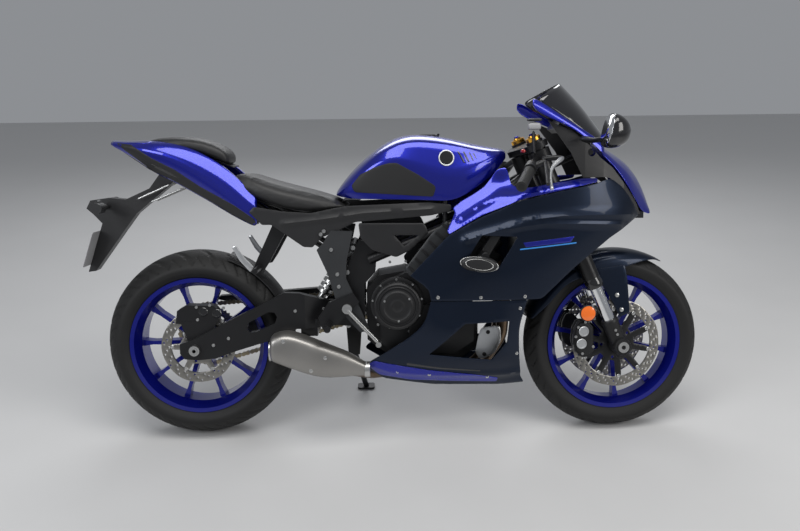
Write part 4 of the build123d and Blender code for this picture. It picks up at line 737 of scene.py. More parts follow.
def scatter(name, part, places, material, body="chassis", place=bikeFrame, size=1.0, smooth=35.0):
    # places are rows of point, facing and ahead in a drawing frame; part is (verts, faces) in millimetres
    partMesh = bpy.data.meshes.new(name + "Part")
    partMesh.from_pydata([tuple(Vector(vert) * layout["mm"]) for vert in part[0]], [], part[1])
    partMesh.validate()
    partObject = bpy.data.objects.new(name + "Part", partMesh)
    pointMesh = bpy.data.meshes.new(name + "Places")
    pointMesh.from_pydata([tuple(place @ Vector(row[0])) for row in places], [], [])
    turn = place.to_3x3().normalized()
    for column, title in ((1, "facing"), (2, "ahead")):
        values = [part for row in places for part in (turn @ Vector(row[column])).normalized()]
        pointMesh.attributes.new(title, "FLOAT_VECTOR", "POINT").data.foreach_set("vector", values)
    holder = bpy.data.objects.new(name + "Places", pointMesh)
    for made in (partObject, holder):
        bpy.context.scene.collection.objects.link(made)
    modifier = holder.modifiers.new("scatter", "NODES")
    modifier.node_group = scatterNodes
    inputs = {item.name: item.identifier for item in scatterNodes.interface.items_tree if item.in_out == "INPUT"}
    modifier[inputs["Part"]], modifier[inputs["Size"]] = partObject, size
    modifier[inputs["Material"]] = materials[material]
    mesh = bpy.data.meshes.new_from_object(holder.evaluated_get(bpy.context.evaluated_depsgraph_get()))
    mesh.name = name
    mesh.materials.clear()
    for made in (holder, partObject):
        bpy.data.objects.remove(made)
    return finishPiece(mesh, name, material, body, smooth=smooth)


def turned(profile, steps=24, cap=True):
    # a form turned about Z from (radius, height) points
    verts = [(radius * math.cos(math.tau * step / steps), radius * math.sin(math.tau * step / steps), height)
             for radius, height in profile for step in range(steps)]
    faces = [(row * steps + step, row * steps + (step + 1) % steps, (row + 1) * steps + (step + 1) % steps,
              (row + 1) * steps + step) for row in range(len(profile) - 1) for step in range(steps)]
    if cap:
        faces += [tuple(range(steps))[::-1], tuple(range(len(verts) - steps, len(verts)))]
    return verts, faces


def joined(*parts):
    # several (verts, faces, matrix) as one
    verts, faces = [], []
    for part in parts:
        matrix = part[2] if len(part) > 2 else Matrix()
        first = len(verts)
        verts += [tuple(matrix @ Vector(vert)) for vert in part[0]]
        faces += [tuple(first + vert for vert in face) for face in part[1]]
    return verts, faces


def facing(point, out, ahead=(0, 0, 1)):
    # a matrix that puts a turned form at a point, its Z along out
    out = Vector(out).normalized()
    left = Vector(ahead).cross(out).normalized()
    return Matrix.Translation(point) @ Matrix((left.cross(out), left, out)).transposed().to_4x4()


socketScrew = turned([(0.1, -1.0), (4.6, -1.0), (4.6, 2.2), (4.0, 3.0), (2.6, 3.0), (2.4, 1.4), (0.1, 1.4)], 18)
domeScrew = turned([(0.1, -1.0), (5.2, -1.0), (5.2, 0.6), (4.4, 1.7), (2.3, 2.3), (2.1, 1.2), (0.1, 1.2)], 18)


# Tyres: the section's arc with the tread's grooves pressed in, turned about the axle
def tyreShell(name, node, place, body, radius, width, bead, grooves):
    half = width / 2
    drop = half * 0.52
    reach = half * 0.97
    arc = (reach ** 2 + drop ** 2) / (2 * drop)
    limit = math.asin(reach / arc)
    around, across = grooves["around"], 44
    profile = [(arc * math.sin(limit * t), radius - arc + arc * math.cos(limit * t), t)
               for t in np.linspace(-1, 1, across + 1)]
    wall = []
    for step in range(1, 13):
        t = step / 12
        side = (1 - t) ** 2 * reach + 2 * t * (1 - t) * half * 1.07 + t * t * half * 0.8
        high = (1 - t) ** 2 * (radius - drop) + 2 * t * (1 - t) * (radius - half * 0.70) + t * t * bead
        wall.append((side, high + (0.8 if step in (4, 9) else 0.0), 2.0))
    section = [(-y, r, -t) for y, r, t in reversed(wall)] + profile + wall
    turns = np.arange(around) / around
    verts = []
    for y, r, t in section:
        share = abs(t)
        phase = turns * grooves["count"] + (0.5 if t > 0 else 0.0) + grooves["slant"] * share
        gap = np.abs((phase % 1.0) - 0.5)
        cut = (gap < grooves["wide"]) & (0.14 < share < 0.86)
        second = np.abs(((phase * 2 + 0.3) % 1.0) - 0.5)
        cut |= (second < grooves["wide"] * 0.8) & (0.55 < share < 0.93)
        deep = r - grooves["deep"] * cut * (share < 1.0)
        angle = turns * math.tau
        verts += list(zip(deep * np.cos(angle), np.full(around, y), deep * np.sin(angle)))
    rows = len(section)
    faces = [(row * around + step, (row + 1) * around + step, (row + 1) * around + (step + 1) % around,
              row * around + (step + 1) % around) for row in range(rows - 1) for step in range(around)]
    return addPiece(name, verts, [face[::-1] for face in faces], "tyreRubber", body, (node,), place, smooth=50)


tread = {"around": 660, "count": 22, "slant": 1.1, "wide": 0.085, "deep": 3.0}
tyreShell("rearTyreShell", "rear_tyre", rearFrame, "rear_wheel", 315.0, 180.0, 229.8, tread)
tyreShell("frontTyreShell", "front_tyre", forkFrame, "front_wheel", 300.0, 120.0, 229.8, {**tread, "count": 20, "slant": 0.9})
print("tyres done")


# Discs: a drilled ring on a carrier with arms
def circle(radius, steps, x=0.0, z=0.0, turn=0.0):
    return [Vector((x + radius * math.cos(math.tau * step / steps + turn), z + radius * math.sin(math.tau * step / steps + turn)))
            for step in range(steps)]


def flatPlate(name, outline, holes, y, thick, place, material, body, replaces=(), slot=None, step=9.0, bevel=0.35):
    places, faces = tiled(outline, holes, [], step)
    return addPiece(name, [(x, y, z) for x, z in places], [tuple(face) for face in faces.tolist()], material, body,
                    replaces, place, smooth=30, slot=slot, modifiers=[
        ("SOLIDIFY", {"thickness": thick * layout["mm"], "offset": 0}),
        ("BEVEL", {"width": bevel * layout["mm"], "segments": 1, "limit_method": "ANGLE", "angle_limit": 0.9})])


def brakeDisc(name, place, body, y, thick, radius, inner, hub, hubHole, arms, replaces=()):
    wave = [Vector((math.cos(a), math.sin(a))) * (radius - 1.6 * (0.5 - 0.5 * math.cos(a * arms)))
            for a in np.arange(120) * math.tau / 120]
    holes = [circle(inner, 90)]
    groups = arms * 3
    for group in range(groups):
        for row, share in enumerate((0.24, 0.5, 0.76)):
            angle = math.tau * (group + 0.33 * row) / groups
            reach = inner + (radius - inner) * share
            holes.append(circle(3.1, 10, reach * math.cos(angle), reach * math.sin(angle)))
    flatPlate(name, wave, holes, y, thick, place, "discSteel", body, replaces, slot="steel", step=7.0)
    loop = []
    for arm in range(arms):
        turn = math.tau * arm / arms
        for reach, wide in ((hub, -0.5), (inner - 14, -0.9), (inner + 1, -0.7), (inner + 1, 0.7), (inner - 14, 0.9), (hub, 0.5)):
            offset = wide * 11.0 / reach if reach > hub else wide * 20.0 / hub
            loop.append((reach * math.cos(turn + offset), reach * math.sin(turn + offset), 3.0))
    flatPlate(name + "Carrier", rounded(loop, 3.0, 8.0), [circle(hubHole, 28)] + [
        circle(5.0, 10, (hub - 12) * math.cos(a), (hub - 12) * math.sin(a)) for a in np.arange(arms // 2) * math.tau / (arms // 2) + 0.3],
        y, thick - 0.8, place, "discSteel" if arms < 8 else "blackMetal", body, slot="steel", step=8.0)
    buttons = [((math.cos(a) * (inner - 2), y + side * thick * 0.42, math.sin(a) * (inner - 2)), (0, side, 0), (1, 0, 0))
               for a in np.arange(arms) * math.tau / arms for side in (-1, 1)]
    scatter(name + "Buttons", turned([(0.1, -1), (6.4, -1), (6.4, 1.2), (5.6, 1.9), (3.4, 1.9), (3.0, 0.9), (0.1, 0.9)], 20),
            buttons, "steel", body, place)


brakeDisc("frontDiscRight", forkFrame, "front_wheel", -68.0, 4.5, 149.0, 117.0, 62.0, 22.0, 10, ("front_discs",))
brakeDisc("frontDiscLeft", forkFrame, "front_wheel", 68.0, 4.5, 149.0, 117.0, 62.0, 22.0, 10)
brakeDisc("rearDiscPlate", rearFrame, "rear_wheel", -81.0, 5.0, 122.5, 89.0, 62.0, 31.0, 6, ("rear_disc",))
print("discs done")

# Chain: its links follow the two sprockets and the straight runs between them
chainRun = {"pitch": 15.875, "rearTeeth": 42, "frontTeeth": 16, "front": (612.0, 425.0), "y": 108.0, "width": 18.0}


def chainPath():
    # the pitch line as points and directions, one for each link
    rear, front = Vector((0, layout["rearRadius"])), Vector(chainRun["front"])
    rearRound = chainRun["pitch"] / 2 / math.sin(math.pi / chainRun["rearTeeth"])
    frontRound = chainRun["pitch"] / 2 / math.sin(math.pi / chainRun["frontTeeth"])
    between = front - rear
    lean = math.atan2(between.y, between.x)
    spread = math.acos((rearRound - frontRound) / between.length)
    run = math.sqrt(between.length ** 2 - (rearRound - frontRound) ** 2)
    rearArc, frontArc = (math.tau - 2 * spread) * rearRound, 2 * spread * frontRound
    total = 2 * run + rearArc + frontArc
    count = round(total / chainRun["pitch"] / 2) * 2
    places = []
    for link in range(count):
        gone = total * link / count
        if gone < run:
            angle = lean + spread
            start = rear + Vector((math.cos(angle), math.sin(angle))) * rearRound
            end = front + Vector((math.cos(angle), math.sin(angle))) * frontRound
            places.append((start.lerp(end, gone / run), (end - start).normalized()))
        elif gone < run + frontArc:
            angle = lean + spread - (gone - run) / frontRound
            out = Vector((math.cos(angle), math.sin(angle)))
            places.append((front + out * frontRound, Vector((out.y, -out.x))))
        elif gone < 2 * run + frontArc:
            angle = lean - spread
            start = front + Vector((math.cos(angle), math.sin(angle))) * frontRound
            end = rear + Vector((math.cos(angle), math.sin(angle))) * rearRound
            places.append((start.lerp(end, (gone - run - frontArc) / run), (end - start).normalized()))
        else:
            angle = lean - spread - (gone - 2 * run - frontArc) / rearRound
            out = Vector((math.cos(angle), math.sin(angle)))
            places.append((rear + out * rearRound, Vector((out.y, -out.x))))
    return places


def linkPart(out):
    # two side plates with a waist, and the pin and roller at the link's start
    pitch = chainRun["pitch"]
    loop = [(math.cos(a) * 7.2, math.sin(a) * 7.2) for a in np.linspace(math.radians(50), math.radians(310), 12)]
    loop += [(pitch / 2, -4.6)] + [(pitch + math.cos(a) * 7.2, math.sin(a) * 7.2)
                                   for a in np.linspace(math.radians(-130), math.radians(130), 12)] + [(pitch / 2, 4.6)]
    parts = []
    for side in (-1, 1):
        low = side * out - 0.9
        verts = [(x, z, low) for x, z in loop] + [(x, z, low + 1.8) for x, z in loop]
        count = len(loop)
        faces = [(a, (a + 1) % count, (a + 1) % count + count, a + count) for a in range(count)]
        parts.append((verts, faces + [tuple(range(count))[::-1], tuple(range(count, 2 * count))]))
    parts.append(turned([(0.1, -out - 1.6), (2.7, -out - 1.6), (2.7, out + 1.6), (0.1, out + 1.6)], 10))
    parts.append(turned([(0.1, -3.6), (5.0, -3.6), (5.0, 3.6), (0.1, 3.6)], 12))
    return joined(*parts)


for first, title, out, material in ((0, "chainInner", 5.0, "steel"), (1, "chainOuter", 7.2, "chainGold")):
    rows = [((x, chainRun["y"], z), (0, -1, 0), (dx, 0, dz)) for (x, z), (dx, dz) in chainPath()[first::2]]
    links = scatter(title, linkPart(out), rows, material)
    if first == 0:
        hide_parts("chain")
print("chain done")

# Fork: lower legs, the bright stretch of each inner tube, axle clamps, reflectors and caps
forkParts = {"side": 105.0, "steps": 36}
for side, sideName in ((-1, "Right"), (1, "Left")):
    seat = Matrix.Translation((0, side * forkParts["side"], 0))
    addPiece("forkTube" + sideName, *joined((*turned([(15, 90), (20.5, 92), (20.5, 236), (15, 238)], forkParts["steps"]), seat)),
             "chrome", "fork", ("fork_legs",) if side < 0 else (), forkFrame, slot="chrome")
    lower = joined(
        (*turned([(20, -32), (24, -34), (27, -26), (27, 80), (28.5, 84), (28.5, 94), (26.5, 97), (20.8, 97)], forkParts["steps"]), seat),
        (*turned([(24, 0), (29, 2), (29, 56), (26, 60), (20, 60)], 32),
         Matrix.Translation((0, side * 78, 0)) @ Matrix.Rotation(-side * math.pi / 2, 4, "X")))
    addPiece("forkLower" + sideName, *lower, "castBlack", "fork", (), forkFrame, slot="black_metal")
    addPiece("forkSeal" + sideName, *joined((*turned([(20.8, 214), (27.6, 216), (29.4, 222), (29.4, 236), (27.6, 240), (27.2, 250)],
                                                     forkParts["steps"]), seat)), "blackGloss", "fork", (), forkFrame, slot="black_metal")
    addPiece("forkCap" + sideName, *joined((*turned([(24, 738), (24, 748), (21, 751), (14, 751), (13, 756), (8, 756), (7.4, 753)],
                                                    24), seat)), "goldCap", "fork", (), forkFrame, slot="aluminium")
    addPiece("forkAdjuster" + sideName, *joined((*turned([(8, 750), (8, 760), (6.5, 762), (3, 762)], 6), seat)), "wheelBlue", "fork",
             (), forkFrame, slot="blue_paint")
    reflector = Matrix.Translation((-58.6, side * 116, 148)) @ Matrix.Rotation(-side * math.pi / 2, 4, "X")
    addPiece("reflector" + sideName, *joined((*turned([(24, -4), (25, 0), (24, 3.5), (16, 5.4), (5, 5.8)], 36), reflector)),
             "orangeLens", "fork", (), forkFrame, slot="lamp")
    addPiece("reflectorHolder" + sideName, *joined((*turned([(20, -9), (26.6, -8), (27.4, 1.5), (25.6, 2.6)], 36), reflector)),
             "blackPlastic", "fork", (), forkFrame, slot="black_plastic")
print("fork done")

# Front calipers: a cast body in layers either side of the disc, piston caps and bolts
caliperShape = {"outline": [(-70, 128), (-92, 134), (-118, 112), (-138, 74), (-142, 40), (-132, 14), (-108, 6), (-86, 16),
                            (-72, 52), (-56, 92)], "inner": 56.0, "outer": 112.0}
for side, sideName in ((-1, "Right"), (1, "Left")):
    loop = rounded([(x, z, 7.0) for x, z in caliperShape["outline"]], 7.0, 5.0)
    for number, (low, high, grow) in enumerate(((50, 62, 0.93), (74, 84, 0.93), (84, 98, 1.0), (98, 106, 0.86))):
        centre = Vector((-102, 68))
        places, faces = tiled([centre + (point - centre) * grow for point in loop], [], [], 9.0)
        addPiece(f"caliper{sideName}{number}", [(x, side * (low + high) / 2, z) for x, z in places],
                 [tuple(face) for face in faces.tolist()], "castBlack", "fork", ("front_calipers",) if side < 0 and not number else (),
                 forkFrame, slot="black_metal", modifiers=[
            ("SOLIDIFY", {"thickness": (high - low) * layout["mm"], "offset": 0}),
            ("BEVEL", {"width": 2.2 * layout["mm"], "segments": 3, "limit_method": "ANGLE", "angle_limit": 0.9})])
    caps = [((x, side * 106, z), (0, side, 0), (1, 0, 0)) for x, z in ((-92.6, 95), (-115.7, 60))]
    scatter("caliperCaps" + sideName, turned([(15.5, -2), (17, -1), (17, 2.6), (15.6, 3.6), (13, 3.6), (12.4, 2.2), (4, 2.2)], 32),
            caps, "castSilver", "fork", forkFrame)
    bolts = [((x, side * 106, z), (0, side, 0), (1, 0, 0)) for x, z in ((-76, 122), (-126, 28), (-84, 34), (-104, 116), (-124, 90))]
    bolts += [((0, side * 132.6, 46), (0, side, 0), (1, 0, 0)), ((0, side * 132.6, 62), (0, side, 0), (1, 0, 0)),
              ((14, side * 130, -20), (0, side, 0), (1, 0, 0))]
    scatter("caliperBolts" + sideName, socketScrew, bolts, "steel", "fork", forkFrame, size=1.0)
print("calipers done")

# Front fender: rows from the tip back, each a section from its middle out and down
fenderRows = [  # degrees from the top, edge radius, half width
    (57.0, 317, 5), (54.0, 315, 22), (49.0, 308, 46), (42.0, 291, 62), (33.7, 268, 73), (23.8, 250, 76), (10.0, 246, 78),
    (0.0, 252, 78), (-13.0, 268, 78), (-24.0, 270, 78), (-34.0, 270, 77), (-43.0, 286, 74), (-49.0, 300, 70),
]
fenderSections = []
for degrees, edge, half in fenderRows:
    angle, drop = math.radians(degrees), 320.0 - edge
    arch = min(drop, 50.0)
    section = []
    for share, down in ((0.0, 0.0), (0.45, 0.06 * arch), (0.8, 0.30 * arch), (0.97, 0.72 * arch), (1.0, drop)):
        reach = 320.0 - down
        section.append((reach * math.sin(angle), half * share, reach * math.cos(angle)))
    fenderSections.append(mirrored(section))
cage("fenderShell", fenderSections, "navyPaint", "fork", caps=False, thick=2.6, replaces=("front_fender",), place=forkFrame,
     creases=[(1, 0.35), (7, 0.35)])
wingOutline = [(34, 262), (92, 244), (126, 236), (118, 196), (100, 140), (80, 78), (44, 78), (38, 150), (28, 218)]
for side, sideName in ((-1, "Right"), (1, "Left")):
    wing = rounded([(x, z, 9.0) for x, z in wingOutline], 9.0, 8.0)
    places, faces = tiled(wing, [], [], 10.0)
    addPiece("fenderWing" + sideName, [(x, side * (77.5 + 3.5 * math.sin((z - 78) / 184 * math.pi)), z) for x, z in places],
             [tuple(face) for face in faces.tolist()], "navyPaint", "fork", (), forkFrame, slot="navy_paint", modifiers=[
        ("SOLIDIFY", {"thickness": 3.0 * layout["mm"], "offset": 0}),
        ("BEVEL", {"width": 0.9 * layout["mm"], "segments": 2, "limit_method": "ANGLE", "angle_limit": 0.9})])
    scatter("fenderBolts" + sideName, domeScrew, [((62.5, side * 81.6, 152.7), (0, side, 0), (1, 0, 0)),
                                                  ((58, side * 80.4, 100), (0, side, 0), (1, 0, 0))],
            "steel", "fork", forkFrame, size=1.5)
print("fender done")

# Mirrors: rows from the glass rim forward along the pod
mirrorSpot = {"x": 1281.0, "y": 322.0, "z": 1006.0, "ahead": (0.974, 0, -0.225), "up": (0.225, 0, 0.974)}
for side, sideName in ((-1, "Right"), (1, "Left")):
    ahead, up = Vector(mirrorSpot["ahead"]), Vector(mirrorSpot["up"])
    centre = Vector((mirrorSpot["x"], side * mirrorSpot["y"], mirrorSpot["z"]))
    sections = []
    for reach, wide, high in ((0, 60, 50), (10, 62, 52.5), (26, 58, 50), (44, 48, 41), (58, 30, 28), (66, 12, 11)):
        section = []
        for step in range(16):
            angle = math.tau * step / 16
            power = 0.72
            c, s = math.cos(angle), math.sin(angle)
            section.append(centre + ahead * reach + Vector((0, 1, 0)) * wide * math.copysign(abs(c) ** power, c)
                           + up * high * math.copysign(abs(s) ** power, s))
        sections.append(section)
    pod = cage("mirrorPod" + sideName, sections, "blackGloss", around=True, replaces=("mirrors",) if side < 0 else (),
               rowCreases=[(0, 0.8)])
    glassLoop = [centre - ahead * 0.6 + Vector((0, 1, 0)) * 56 * math.copysign(abs(math.cos(a)) ** 0.72, math.cos(a))
                 + up * 46 * math.copysign(abs(math.sin(a)) ** 0.72, math.sin(a)) for a in np.arange(40) * math.tau / 40]
    addPiece("mirrorGlass" + sideName, glassLoop, [tuple(range(40))], "chrome", slot="chrome", modifiers=[
        ("SOLIDIFY", {"thickness": 1.6 * layout["mm"], "offset": 0})])
    stalk = [(1256, side * 128, 985), (1266, side * 180, 976), (1284, side * 240, 978), (1300, side * 296, 990)]
    rows = []
    for number, place in enumerate(stalk):
        wide = (24, 17, 14, 16)[number]
        rows.append([Vector(place) + Vector((wide * math.cos(a), 0, wide * 0.55 * math.sin(a))) for a in np.arange(8) * math.tau / 8])
    cage("mirrorStalk" + sideName, rows, "blackPlastic", around=True)
print("mirrors done")


# Seats: a cover blown out a little by cloth pressure, held along its foot, then its seams
def softPad(name, node, sections, settings, body="chassis"):
    base = cage(name + "Base", sections, "seatVinyl", body, around=True, levels=2, creases=settings["creases"])
    deps = bpy.context.evaluated_depsgraph_get()
    mesh = bpy.data.meshes.new_from_object(base.evaluated_get(deps))
    bpy.data.objects.remove(base)
    core = bpy.data.objects.new(name + "Core", mesh)
    bpy.context.scene.collection.objects.link(core)
    remesh = core.modifiers.new("even", "REMESH")
    remesh.mode, remesh.voxel_size = "VOXEL", settings["voxel"] * layout["mm"]
    mesh = bpy.data.meshes.new_from_object(core.evaluated_get(bpy.context.evaluated_depsgraph_get()))
    bpy.data.objects.remove(core)
    back = bikeFrame.inverted()
    start = np.array([tuple(back @ vert.co) for vert in mesh.vertices])
    cover = bpy.data.objects.new(name + "Cover", mesh.copy())
    bpy.context.scene.collection.objects.link(cover)
    held = cover.vertex_groups.new(name="held")
    normals = np.array([tuple(bikeFrame.to_3x3().normalized().transposed() @ vert.normal) for vert in mesh.vertices])
    held.add([int(i) for i in np.nonzero(normals[:, 2] < settings["heldBelow"])[0]], 1.0, "REPLACE")
    cloth = cover.modifiers.new("cloth", "CLOTH")
    cloth.settings.quality = 4
    cloth.settings.use_pressure = True
    cloth.settings.uniform_pressure_force = settings["pressure"]
    cloth.settings.effector_weights.gravity = 0
    cloth.settings.vertex_group_mass = "held"
    cloth.point_cache.frame_end = 20
    for frameNumber in range(1, 21):
        bpy.context.scene.frame_set(frameNumber)
    blown = bpy.data.meshes.new_from_object(cover.evaluated_get(bpy.context.evaluated_depsgraph_get()))
    moved = np.array([tuple(back @ vert.co) for vert in blown.vertices]) - start
    far = np.linalg.norm(moved, axis=1, keepdims=True)
    moved *= np.minimum(1.0, settings["reach"] / np.maximum(far, 1e-6))
    start = start + moved
    bpy.data.objects.remove(cover)
    bpy.context.scene.frame_set(1)
    start = settings["seam"](start)
    mesh.vertices.foreach_set("co", np.array([tuple(bikeFrame @ Vector(place)) for place in start]).ravel())
    mesh.update()
    piece = finishPiece(mesh, name, "seatVinyl", body, (node,), 60.0, [("SUBSURF", {"levels": 1, "render_levels": 1})])
    return piece


def saddleSections(rows, crown):
    # rows of x, top, half width, foot: a crowned top, a rounded shoulder and a tucked foot
    made = []
    for x, top, half, foot in rows:
        deep = top - foot
        right = [(0.0, 0.0), (0.5, crown * 0.25), (0.84, crown), (1.0, crown + 0.30), (0.97, 0.80), (0.86, 1.0)]
        half_ = [(x, half * out, top - deep * down) for out, down in right]
        made.append([(px, -py, pz) for px, py, pz in reversed(half_[1:])] + half_ + [(x, 0.0, foot)])
    return made


def riderSeam(places):
    # a shallow channel across the top before the hump
    x, y, z = places.T
    across = np.exp(-((x - 196) / 3.2) ** 2) * (np.abs(y) < 200)
    places[:, 2] -= 2.2 * across * (z > np.interp(x, [150, 500], [858, 770]))
    return places


def pillionSeam(places):
    x, y, z = places.T
    places[:, 2] -= 1.8 * np.exp(-((x - 62) / 3.0) ** 2) * (z > 950)
    return places


riderRows = [
    (118, 868, 74, 836), (140, 884, 88, 832), (172, 888, 104, 824), (214, 874, 120, 806), (262, 856, 128, 786), (330, 838, 130, 764),
    (400, 820, 122, 756), (450, 804, 106, 762), (486, 790, 88, 768), (510, 780, 72, 768)]
softPad("riderSeatPad", "rider_seat", saddleSections(riderRows, 0.10), {
    "voxel": 6.0, "pressure": 4.0, "reach": 3.0, "heldBelow": -0.35, "fill": 0.9, "creases": [(0, 0.5), (10, 0.5)], "seam": riderSeam})
pillionRows = [(-148, 993, 50, 978), (-120, 999, 66, 976), (-60, 1004, 80, 968), (0, 1003, 86, 960), (56, 994, 86, 944), (100, 974, 82, 924),
               (130, 948, 76, 908)]
softPad("pillionPad", "pillion_seat", saddleSections(pillionRows, 0.12), {
    "voxel": 6.0, "pressure": 4.0, "reach": 3.0, "heldBelow": -0.35, "fill": 0.9, "creases": [(0, 0.5), (10, 0.5)], "seam": pillionSeam})
print("seats done")

print("strips done")

# Trim on the fairings: belly strip, side stripe, screws, the vent's post, the pads and the plate in the lower opening
lowerSurface, sideSurface = shape(lowerFairing), shape(sideFairing)
trim = {"beltLift": 1.2, "stripeLift": 0.5, "screwZ": 490.0}
overlay("bellyStrip", [(560, 258), (584, 274), (669, 257), (767, 241), (898, 226), (992, 206), (988, 191), (832, 196), (701, 203),
                       (600, 222)], lowerSurface, "bluePaint", lift=trim["beltLift"] + 1, thick=2.0, slot="blue_paint")
overlay("bellySlot", [(690, 268), (800, 252), (930, 240), (930, 236), (800, 246), (690, 260)], lowerSurface, "blackGloss",
        lift=0.4, thick=1.0, corner=2.0, slot="black_plastic")
overlay("sideStripe", [(1056, 664), (1221, 680), (1209, 662), (1064, 650)], sideSurface, "bluePaint", lift=trim["stripeLift"],
        thick=0.9, corner=3.0, slot="blue_paint")
overlay("sideLine", [(1046, 645), (1228, 661), (1228, 657), (1046, 641)], sideSurface, "stripeBlue", lift=trim["stripeLift"],
        thick=0.9, corner=1.0, step=8.0, slot="blue_paint")
screwSpots = [(790, 492), (925, 491), (1066, 491)]
lowSpots = [(660, 236), (764, 226), (955, 214), (1052, 452), (1046, 300)]
rows = [((x, side * (far - 0.4), z), (0, side, 0), (1, 0, 0))
        for spots, surface in ((screwSpots, sideSurface), (lowSpots, lowerSurface))
        for (x, z), far in zip(spots, surface(spots)) for side in (-1, 1)]
scatter("fairingScrews", domeScrew, rows, "steel", size=1.15)
for side, sideName in ((-1, "Right"), (1, "Left")):
    flatPlate("ventPost" + sideName, rounded([(962, 688, 5), (992, 684, 5), (936, 592, 5), (902, 596, 5)], 5.0, 7.0), [],
              side * 178.0, 14.0, bikeFrame, "blackPlastic", "chassis", slot="black_plastic", bevel=2.0)
    flatPlate("frameCover" + sideName, rounded([(x, z, 8.0) for x, z in ((540, 724), (752, 721), (765, 691), (706, 634),
              (661, 612), (584, 636), (546, 675))], 8.0, 8.0), [rounded([(654, 684, 4), (733, 682, 4), (687, 647, 4)], 4.0, 6.0)],
              side * 127.0, 4.0, bikeFrame, "blackPlastic", "chassis", slot="black_plastic", bevel=1.2)
    spar = [(825, 730), (841, 691), (737, 550), (702, 550), (689, 577), (777, 692)]
    flatPlate("sparCover" + sideName, rounded([(x, z, 8.0) for x, z in spar], 8.0, 8.0), [], side * 140.0, 8.0, bikeFrame,
              "greyMetal", "chassis", slot="black_plastic", bevel=2.5)
    ribs = [((712 + 22 * step, side * 144.5, 572 + 27.5 * step), (0, side, 0), (0.66, 0, 0.75)) for step in range(6)]
    scatter("sparRibs" + sideName, joined(([(x, y, z) for z in (-1, 2.4) for x, y in ((-4 + z * 0.3, -17), (4 - z * 0.3, -17),
            (4 - z * 0.3, 17), (-4 + z * 0.3, 17))], [(0, 3, 2, 1), (4, 5, 6, 7), (0, 1, 5, 4), (1, 2, 6, 5), (2, 3, 7, 6),
            (3, 0, 4, 7)])), ribs, "blackPlastic")
    pad = []
    for out, grow in ((232, 0.80), (236, 0.94), (246, 1.0), (256, 0.97), (263, 0.84), (266, 0.60)):
        pad.append([(914 + grow * (62 * math.copysign(abs(math.cos(a)) ** 0.75, math.cos(a)) * 0.985 - 24 * math.sin(a) * -0.17),
                     side * out, 604 + grow * (24 * math.sin(a) - 62 * math.cos(a) * 0.13)) for a in np.arange(20) * math.tau / 20])
    cage("crashPad" + sideName, pad, "blackPlastic", around=True,
         replaces=("crash_pads",) if side < 0 else ())
    for number, grow in enumerate((0.98, 0.72)):
        band = [[(914 + (grow + wide) * 62 * math.cos(a), side * (257 + 7 * number + lift), 604 + (grow + wide) * (24 * math.sin(a)
                 - 62 * math.cos(a) * 0.13)) for a in np.arange(20) * math.tau / 20] for wide, lift in ((0.0, 0), (-0.03, 1.6), (-0.06, 0))]
        cage(f"crashPadTrim{sideName}{number}", band, "steel", around=True, caps=False, thick=0.8)
    addPiece("crashPadStem" + sideName, *joined((*turned([(11, 0), (12, 2), (12, 132), (10, 134)], 20),
             Matrix.Translation((935, side * 104, 626)) @ Matrix.Rotation(-side * math.pi / 2, 4, "X"))), "blackMetal",
             slot="black_metal")
flatPlate("openingPlate", rounded([(x, z, 14.0) for x, z in ((937, 375), (1000, 380), (1003, 330), (980, 286), (934, 266),
          (917, 291), (927, 348))], 14.0, 6.0), [], -122.0, 3.0, bikeFrame, "castSilver", "chassis", slot="aluminium", bevel=0.9)
addPiece("openingPlateStem", *joined((*turned([(13, 0), (14, 1), (14, 40), (12, 42)], 20),
         Matrix.Translation((958, -79, 330)) @ Matrix.Rotation(math.pi / 2, 4, "X"))), "blackMetal", slot="black_metal")
scatter("openingPlateScrews", domeScrew, [((959, -123.5, 359), (0, -1, 0), (1, 0, 0)), ((947, -123.5, 285), (0, -1, 0), (1, 0, 0))],
        "blackMetal", size=1.3)
print("trim done")

# Engine: ribbed clutch cover and its screws, frame and pivot bolts
toRight = Matrix.Rotation(math.pi / 2, 4, "X")
cover = {"x": 662.0, "z": 462.0}
coverSeat = Matrix.Translation((cover["x"], 0, cover["z"])) @ toRight
addPiece("clutchRings", *joined((*turned([
    (85.6, 140), (85.6, 147), (83, 148), (76, 148), (75.5, 150), (75.5, 186), (72, 189.5), (69, 190.5), (67, 188.6), (64, 188.6),
    (62, 190.5), (59, 190.5), (57, 188.6), (52, 188.6), (49.6, 190), (49.6, 196), (47.5, 198), (44, 198.4), (42, 196.8),
    (22, 196.8), (20, 198), (17, 198), (15, 196.8), (3, 196.8)], 72), coverSeat)), "castBlack", slot="black_metal")
ringBolts = [((cover["x"] + r * math.cos(a), -y, cover["z"] + r * math.sin(a)), (0, -1, 0), (1, 0, 0))
             for r, y, count, first in ((80.5, 148, 9, 0.2), (45.5, 198.4, 3, 0.6)) for a in np.arange(count) * math.tau / count + first]
scatter("clutchScrews", socketScrew, ringBolts, "steel", size=0.8)


def boltsOn(name, node, spots, part=socketScrew, material="steel", sides=(-1, 1), size=1.0, body="chassis"):
    # screws seated on the side of a CAD piece
    surface = shape(bpy.data.objects[node])
    rows = [((x, side * (far - 0.4), z), (0, side, 0), (1, 0, 0)) for side in sides
            for (x, z), far in zip(spots, surface(spots, side)) if far > 20]
    return scatter(name, part, rows, material, body, size=size)


